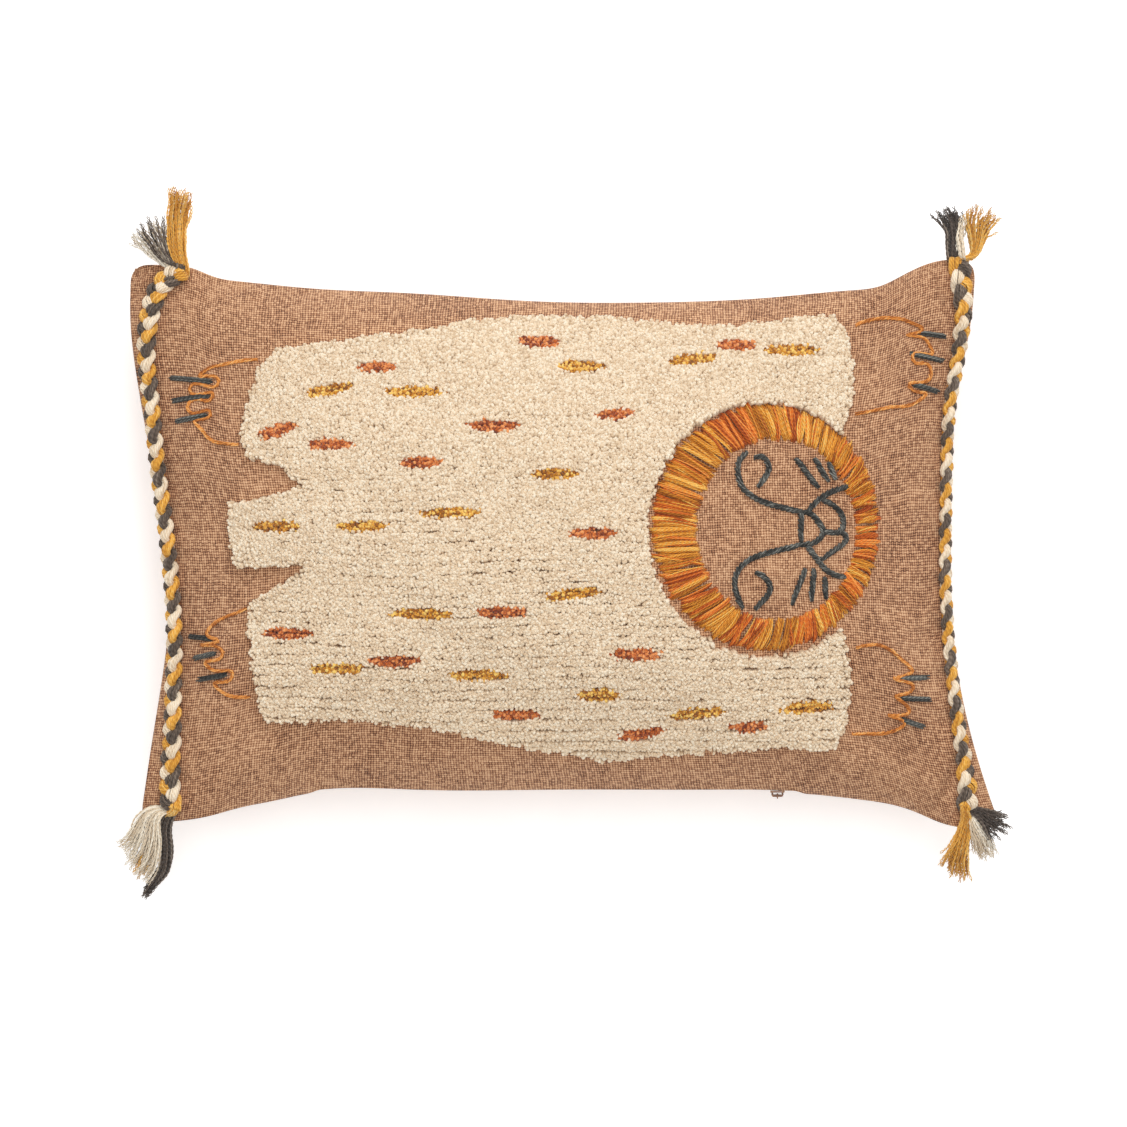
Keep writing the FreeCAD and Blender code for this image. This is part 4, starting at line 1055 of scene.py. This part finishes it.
def make_pile():
    """Cream pile in a few fields, and the rust and ochre dashes in its rows."""
    rng = np.random.default_rng(6)
    x, y, edge = pile_ends()
    outline = drawn_in(PILE_OUTLINE, MOTIF_SHARE)
    far, to = rim(x, y, outline)
    far = np.where(inside(x, y, outline), far, -far)
    notch = np.hypot((x - NOTCH_CENTRE[0]) / NOTCH_RADII[0], (y - NOTCH_CENTRE[1]) / NOTCH_RADII[1])
    notch_far = (notch - 1) * NOTCH_RADII[0]
    ragged = rng.normal(*EDGE_RAG, x.shape) + EDGE_WAVE[0] * ripple(x, y, EDGE_WAVE[1], 71)
    kept = (far > ragged) & (notch_far > ragged * NOTCH_RAG)
    x, y, edge, far, to = (v[kept] for v in (x, y, edge, far, to))
    lean = to * (np.clip(1 - far / EDGE_REACH, 0, 1) * rng.uniform(0.0, EDGE_LEAN, x.shape))[:, None]
    rust = in_dash(x, y, RUST_DASHES) > rng.normal(*DASH_RAG, x.shape)
    ochre = in_dash(x, y, OCHRE_DASHES) > rng.normal(*DASH_RAG, x.shape)
    ochre &= ~rust
    cream = ~(rust | ochre)
    fields = np.clip(((y - FIELD_FROM) / FIELD_STEP).astype(int), 0, PILE_FIELDS - 1)
    parts = [("lion_pile_field_%d" % (k + 1), cream & (fields == k), CREAM_PILE, "cream_pile",
              [] if k else ["tufted_lion_pile"], 1.0, BUD_UNEVEN) for k in range(PILE_FIELDS)]
    parts += [("pile_dashes_" + name, pick, material, name + "_yarn", ["tufted_dashes_" + name],
               DASH_HEIGHT, DASH_UNEVEN)
              for name, pick, material in (("rust", rust, RUST_PILE), ("ochre", ochre, OCHRE_PILE))]
    for name, pick, material, slot, nodes, scale, uneven in parts:
        v, f, values = ends_mesh(x[pick], y[pick], edge[pick], lean[pick], scale, uneven, rng)
        piece(name, v, f, material, slot, nodes, yarn=values)


# ---------------------------------------------------------------- mane and embroidery

def ring_point(centre, radii, angle):
    """Point of an ellipse in plan."""
    return np.array(centre) + np.array(radii) * (math.cos(angle), math.sin(angle))


def make_mane():
    """Laid stitches from the outer to the inner ring, in uneven groups of the two colours."""
    rng = np.random.default_rng(8)
    theta = np.linspace(0, 2 * math.pi, MANE_STITCHES, endpoint=False)
    radius, spacing = MANE_GROUPS
    stitch_stray, strand_stray = MANE_COLOUR_STRAY
    group = ripple(np.cos(theta) * radius, np.sin(theta) * radius, spacing, 81)
    group = group + rng.normal(0, stitch_stray, theta.shape) - MANE_RUST_SIDE * np.cos(theta)
    share = np.linspace(0, 1, MANE_POINTS)
    arch = 1 - np.abs(2 * share - 1) ** 5
    belly = np.sin(math.pi * share)
    paths, tints, colour = [], [], []
    for i, angle in enumerate(theta):
        outer = ring_point(MANE_CENTRE, MANE_RADII, angle)
        inner = ring_point(FACE_CENTRE, FACE_RADII, angle + rng.normal(0, MANE_BEND))
        outward = unit(outer - inner)
        outer = outer + outward * rng.normal(*MANE_OUTER_RAG)
        inner = inner + outward * rng.normal(0.0, MANE_INNER_RAG)
        tangent = np.array([-outward[1], outward[0]])
        tall = MANE_HEIGHT * rng.uniform(*MANE_HEIGHTS)
        tint = rng.uniform(*MANE_TINTS)
        bow = rng.normal(0, MANE_BOW)
        for j in range(MANE_STRANDS):
            off = j - (MANE_STRANDS - 1) / 2
            crimp = rng.normal(0, MANE_CRIMP)
            crimp = crimp * np.sin(rng.uniform(*MANE_CRIMP_RANGE) * share + rng.uniform(0, ANY_ANGLE))
            sway = off * MANE_STRAND_STEP * (MANE_BELLY[0] + MANE_BELLY[1] * belly) + bow * belly + crimp
            line = outer + (inner - outer) * share[:, None] + tangent * sway[:, None]
            line = line + outward * rng.normal(0, MANE_STRAND_RAG) * (1 - share[:, None])
            lift = (arch * (tall - MANE_ROUND * abs(off)) - MANE_SINK
                    + MANE_LIFT_STRAY * rng.normal(0, 1))
            paths.append(above(line[:, 0], line[:, 1], lift))
            tints.append(np.clip(tint + rng.normal(0, MANE_TINT_STRAY), 0, 1))
            colour.append(group[i] + rng.normal(0, strand_stray) > MANE_RUST)
    paths, tints, colour = np.array(paths), np.array(tints), np.array(colour)
    for name, pick, material in (("ochre", ~colour, OCHRE_MANE), ("rust", colour, RUST_MANE)):
        v, f, values = tubes(paths[pick], MANE_STRAND_RADIUS, tints[pick])
        piece("mane_stitches_" + name, v, f, material, name + "_yarn", ["mane_yarn_" + name], yarn=values)


def stitches(line, rng, step, reach, slant, height, strands, gap):
    """Stem stitch along a plan line: overlapping slanted stitches, each of a few strands."""
    path = even_spline(line, STITCH_SAMPLE)
    run = np.arange(len(path)) * STITCH_SAMPLE
    total = run[-1]
    first = reach * STITCH_FIRST
    share = np.linspace(-1, 1, STITCH_POINTS)
    paths = []
    for centre in np.linspace(first, total - first, max(2, int(round(total / step)))):
        at = np.clip(centre + share * reach / 2 * rng.uniform(*STITCH_REACHES), 0, total)
        x, y = np.interp(at, run, path[:, 0]), np.interp(at, run, path[:, 1])
        ahead = unit(np.stack([np.gradient(x) + 1e-6, np.gradient(y)], axis=-1))
        across = np.stack([-ahead[:, 1], ahead[:, 0]], axis=-1)
        lift = height * (1 - np.abs(share) ** 3) - STITCH_SINK
        for j in range(strands):
            off = j - (strands - 1) / 2
            offset = off * gap + slant * share + rng.normal(0, STITCH_STRAY)
            paths.append(above(x + across[:, 0] * offset, y + across[:, 1] * offset,
                               lift + STITCH_ROUND * (1 - abs(off))))
    return np.array(paths)


def satin(line, rng, strands, width, height):
    """A bar of parallel straight stitches."""
    (x0, y0), (x1, y1) = line
    share = np.linspace(0, 1, CLAW_POINTS)
    ahead = unit(np.array([x1 - x0, y1 - y0], float))
    paths = []
    for j in range(strands):
        offset = ((j + 0.5) / strands - 0.5) * width
        start, end = rng.normal(0, CLAW_RAG, 2)
        x = x0 - ahead[1] * offset + ahead[0] * start + (x1 - x0 + ahead[0] * (end - start)) * share
        y = y0 + ahead[0] * offset + ahead[1] * start + (y1 - y0 + ahead[1] * (end - start)) * share
        crest = height * math.sqrt(1 - (2 * offset / width) ** 2 * CLAW_ROUND)
        lift = crest * (1 - np.abs(2 * share - 1) ** 4) - CLAW_SINK + rng.normal(0, CLAW_STRAY)
        paths.append(above(x, y, lift))
    return np.array(paths)


def embroidered(name, paths, radius, material, slot, replaced, rng):
    """One piece from stitch paths."""
    paths = np.concatenate(paths)
    v, f, values = tubes(paths, radius, rng.uniform(0.0, 1.0, len(paths)))
    piece(name, v, f, material, slot, [replaced], yarn=values)


def make_embroidery():
    """Face lines, paw outlines and claws."""
    rng = np.random.default_rng(9)
    for name, lines in (("eyes_and_brows", BROWS_AND_EYES), ("nose_and_mouth", NOSE_AND_MOUTH),
                        ("whiskers", WHISKERS)):
        paths = [stitches(drawn_in(line, MOTIF_SHARE), rng, **FACE_STITCH) for line in lines]
        embroidered("stitched_" + name, paths, FACE_THREAD, CHARCOAL_THREAD, "charcoal_thread",
                    "embroidered_" + name, rng)
    for corner, outline in PAWS.items():
        paths = [stitches(drawn_in(outline, PAW_SHARE), rng, **PAW_STITCH)]
        embroidered("stitched_paw_" + corner, paths, PAW_THREAD, ORANGE_THREAD, "orange_thread",
                    "paw_outline_" + corner, rng)
        bars = [satin(drawn_in(claw, PAW_SHARE), rng, **CLAW_BAR) for claw in CLAWS[corner]]
        embroidered("stitched_claws_" + corner, bars, CLAW_THREAD, CHARCOAL_THREAD, "charcoal_thread",
                    "claws_" + corner, rng)


# ---------------------------------------------------------------- braids and fringes

def amid(y):
    """How near places are to the middle of a side, from 0 at its corners to 1."""
    return 1 - np.clip(np.abs(y) / BRAID_CORNER, 0, 1) ** 3


def braid_centre(line, tilt, pull):
    """Centre line of a braid over the cover, its sideways and outward directions and its size."""
    coarse, fine = BRAID_STEPS
    laid = even_spline(line, coarse)
    inward = 1 if line[0][0] < 0 else -1
    x, y = laid[:, 0] + inward * BRAID_FOOT, laid[:, 1]
    base = np.stack([x, y, looked_up(HEIGHTS, x, y)], axis=-1)
    size = 1 - pull * amid(y)
    centre = even_spline(base + facing(x, y) * (BRAID_STAND_OFF * size)[:, None], fine)
    out = facing(centre[:, 0] + inward * BRAID_FOOT, centre[:, 1])
    out[:, 0] -= inward * tilt * amid(centre[:, 1])
    ahead = unit(np.gradient(centre, axis=0))
    side = unit(np.cross(ahead, out))
    return centre, side, np.cross(side, ahead), 1 - pull * amid(centre[:, 1])


def make_braids():
    """Three bundles of yarn on each side, plaited; returns where each strand starts and ends."""
    rng = np.random.default_rng(10)
    ends = {}
    for side_name, line in BRAID_LINES.items():
        centre, side, out, size = braid_centre(line, BRAID_TILTS[side_name], BRAID_PULLS[side_name])
        phase, turn_lengths = BRAID_PLAITS[side_name]
        steps = np.linalg.norm(np.diff(centre, axis=0), axis=1)
        run = np.concatenate([[0.0], np.cumsum(steps)])
        turn_length = np.interp(run, (0, BRAID_NEAR_END * run[-1], run[-1]), turn_lengths)
        turned = 2 * math.pi * np.concatenate([[0.0], np.cumsum(steps / turn_length[1:])])
        for k, colour in enumerate(STRAND_ORDER):
            angle = turned + math.radians(phase + k * 360 / len(STRAND_ORDER))
            middle = (centre + side * (BRAID_SWAY * size * np.sin(angle))[:, None]
                      + out * (BRAID_LIFT * size * np.sin(2 * angle))[:, None])
            ahead = unit(np.gradient(middle, axis=0))
            across = unit(np.cross(ahead, out))
            over = np.cross(across, ahead)
            swell = size * (1 + BRAID_SWELL * np.sin(2 * angle))
            paths = []
            for j in range(BRAID_YARNS):
                at = 2 * math.pi * (j / BRAID_YARNS + run / BUNDLE_TURN) + rng.normal(0, BUNDLE_STRAY)
                wide = BRAID_BUNDLE[0] * np.cos(at) * swell * rng.uniform(*BUNDLE_UNEVEN)
                high = BRAID_BUNDLE[1] * np.sin(at) * swell * rng.uniform(*BUNDLE_UNEVEN)
                wobble = BUNDLE_WOBBLE[0] * np.sin(run / BUNDLE_WOBBLE[1] + rng.uniform(0, ANY_ANGLE))
                paths.append(middle + across * (wide + wobble)[:, None] + over * high[:, None])
            tints = rng.uniform(*BUNDLE_TINTS, BRAID_YARNS)
            v, f, values = tubes(np.array(paths), BRAID_YARN_RADIUS, tints)
            name = "%s_%s" % (side_name, colour)
            piece("plait_" + name, v, f, BRAID_MATERIALS[colour], colour + "_yarn", ["braid_" + name],
                  yarn=values)
            first, last = ("upper_", "lower_") if line[0][1] > 0 else ("lower_", "upper_")
            ends[first + side_name, colour] = middle[0], middle[BRAID_TAIL]
            ends[last + side_name, colour] = middle[-1], middle[-1 - BRAID_TAIL]
    return ends


def make_fringes(ends):
    """Loose yarns that carry on from every strand."""
    rng = np.random.default_rng(12)
    share = np.linspace(0, 1, FRINGE_POINTS)
    side_crimp, up_crimp = FRINGE_CRIMP_RANGES
    for corner, bunches in FRINGES.items():
        for colour, (root, tip, halves, bow, longer, count) in bunches.items():
            last, before = ends[corner, colour]
            root, tip = (np.array(place, float) + (0, 0, SEAM_Z) for place in (root, tip))
            along = unit(tip - root)
            wide = unit(np.cross([0, 0, 1.0], along))
            thick = np.cross(along, wide)
            paths = []
            for j in range(count):
                fan = 2 * (j + 0.5) / count - 1
                deep = 2 * (j * GOLDEN % 1) - 1
                near = wide * halves[0] * fan + thick * deep * FRINGE_DEPTHS[0]
                middle = ((root + tip) / 2 + wide * (halves[1] * fan + bow)
                          + thick * (deep * FRINGE_DEPTHS[1] + FRINGE_LIFT))
                end = (tip + wide * halves[2] * (fan + rng.normal(0, FRINGE_STRAY))
                       + thick * deep * FRINGE_DEPTHS[2])
                end = end + along * (rng.normal(0, FRINGE_RAG) - FRINGE_ROUND * fan * fan + longer * fan)
                knots = np.array([before + near * FRINGE_GATHERED[0], last + near * FRINGE_GATHERED[1],
                                  root + near, middle, end])
                crimp = np.sin(share * rng.uniform(*side_crimp) + rng.uniform(0, ANY_ANGLE))
                path = spline(knots, share) + wide * (crimp * share * FRINGE_CRIMP)[:, None]
                crimp = np.cos(share * rng.uniform(*up_crimp))
                paths.append(path + thick * (crimp * share * FRINGE_CRIMP)[:, None])
            orbit = PLY_ORBITS[0] + PLY_ORBITS[1] * share[:, None] ** 8
            plies = plied(np.array(paths), 2, orbit, PLY_PITCH, rng.uniform(0, 2 * math.pi, (count, 1)))
            tints = rng.uniform(0.0, 1.0, count)
            radii = PLY_RADII[0] - PLY_RADII[1] * share ** 6
            v, f, values = tubes(plies, radii, np.tile(tints, 2), PLY_SIDES)
            name = "%s_%s" % (corner, colour)
            # Each fringe gets the lighter copy of its yarn, as painted light.
            piece("loose_yarns_" + name, v, f, LIT_FRINGE_MATERIALS[colour], colour + "_yarn",
                  ["fringe_" + name], yarn=values)


# ---------------------------------------------------------------- zip and pad

def make_zip():
    """Meshed coils and the tapes they are woven to, and metal for the slider, pull and stops."""
    loops = 2 * CHAIN_HALF / COIL_PITCH
    angle = np.linspace(0, 2 * math.pi * loops, int(loops * COIL_POINTS))
    for name, sign, grid in (("front", 1, FRONT), ("back", -1, BACK)):
        x = -CHAIN_HALF + COIL_PITCH * (angle / (2 * math.pi) + (0.5 if sign < 0 else 0.0))
        path = np.stack([x, CHAIN_Y + COIL_HALF_WIDTH * np.cos(angle),
                         SEAM_Z + sign * (COIL_OFF + COIL_HALF_HEIGHT * np.sin(angle))], axis=-1)
        v, f, values = tubes(path[x < CHAIN_HALF][None], COIL_WIRE, [0.5])
        piece("coil_" + name, v, f, COIL, "zip_coil", ["zip_coil_" + name], yarn=values)
        pick = np.flatnonzero(np.abs(grid[:, 0, 0]) < TAPE_HALF_LENGTH)
        inner = grid - normals(grid, sign) * (CLOTH + TAPE_GAP)
        x = grid[pick, 0, 0]
        rows = [np.stack([x, np.full_like(x, CHAIN_Y - back), np.full_like(x, SEAM_Z + sign * off)],
                         axis=-1) for back, off in TAPE_EDGE]
        strip = np.stack(rows + [inner[pick, k] for k in range(TAPE_ROWS)])
        quads = grid_quads(*strip.shape[:2])
        if sign < 0:
            quads = quads[:, ::-1]
        made = piece("tape_" + name, strip.reshape(-1, 3), [quads], TAPE, "zip_tape",
                     ["zip_tape_" + name])
        thicken(made, TAPE_THICK)
    for name in ("zip_slider", "zip_pull", "zip_top_stops", "zip_bottom_stop"):
        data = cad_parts[name].data
        data.materials.clear()
        data.materials.append(LACQUER)


def make_insert():
    """The loose inner pad: its lining and the filling in it."""
    panels = [grid[::PAD_STEP, ::PAD_STEP] for grid in (FRONT, BACK)]
    na, nb = panels[0].shape[:2]
    quads = grid_quads(na, nb)
    for name, deeper, material, slot in (("lining", 0.0, lining_material(), "lining_cloth"),
                                         ("filling", LINING, filling_material(), "fibre_filling")):
        ends, upper, lower = (gap + deeper for gap in PAD_GAPS)
        shrunk = []
        for grid in panels:
            g = grid.copy()
            g[:, 0, 2] = SEAM_Z
            g[..., 0] *= 1 - ends / PAD_HALVES[0]
            g[..., 1] = g[..., 1] * (1 - (upper + lower) / (2 * PAD_HALVES[1])) + (lower - upper) / 2
            rise = np.abs(g[..., 2] - SEAM_Z)
            g[..., 2] = SEAM_Z + (g[..., 2] - SEAM_Z) * rise / (rise + PAD_GAP + deeper)
            shrunk.append(g.reshape(-1, 3))
        made = piece("pad_" + name, np.concatenate(shrunk), [quads[:, ::-1], quads + na * nb], material,
                     slot, ["insert_" + name])
        merge = made.modifiers.new("seam", "WELD")
        merge.merge_threshold = PAD_WELD * MM


# ---------------------------------------------------------------- stage

def make_stage():
    """Floor, soft light from beyond the upper long side, and the camera straight above."""
    scene = bpy.context.scene
    floor = bpy.data.meshes.new("floor")
    corners = [(x * FLOOR_HALF, y * FLOOR_HALF, 0) for x, y in ((-1, -1), (1, -1), (1, 1), (-1, 1))]
    floor.from_pydata(corners, [], [(0, 1, 2, 3)])
    material, tree, surface = shader("pale_floor", 0.9, Emission_Color=(1, 1, 1, 1),
                                     Emission_Strength=FLOOR_GLOW)
    paint(tree, surface, grain(tree, 30.0), (0.3, (247, 247, 247)), (0.7, (250, 250, 250)))
    floor.materials.append(material)
    floor = add("floor", floor)
    world = bpy.data.worlds.new("studio")
    world.use_nodes = True
    background = world.node_tree.nodes["Background"]
    background.inputs["Color"].default_value = WORLD_COLOUR
    background.inputs["Strength"].default_value = WORLD_STRENGTH
    scene.world = world
    for name, at, size, energy in LIGHTS:
        light = bpy.data.lights.new(name, "AREA")
        light.shape = "SQUARE"
        light.size = size
        light.energy = energy
        lamp = add(name, light)
        lamp.location = at
        lamp.rotation_euler = (-Vector(at)).to_track_quat("-Z", "Y").to_euler()
    camera = bpy.data.cameras.new("camera")
    camera.lens = LENS
    camera.sensor_width = SENSOR
    scene.camera = add("camera", camera)
    x, y = EYE
    scene.camera.location = Vector((x, y, SEAM_Z + PICTURE_WIDTH * LENS / SENSOR)) * MM
    scene.view_settings.view_transform = "Standard"


make_pile()
make_mane()
make_embroidery()
make_fringes(make_braids())
make_zip()
make_insert()
make_stage()
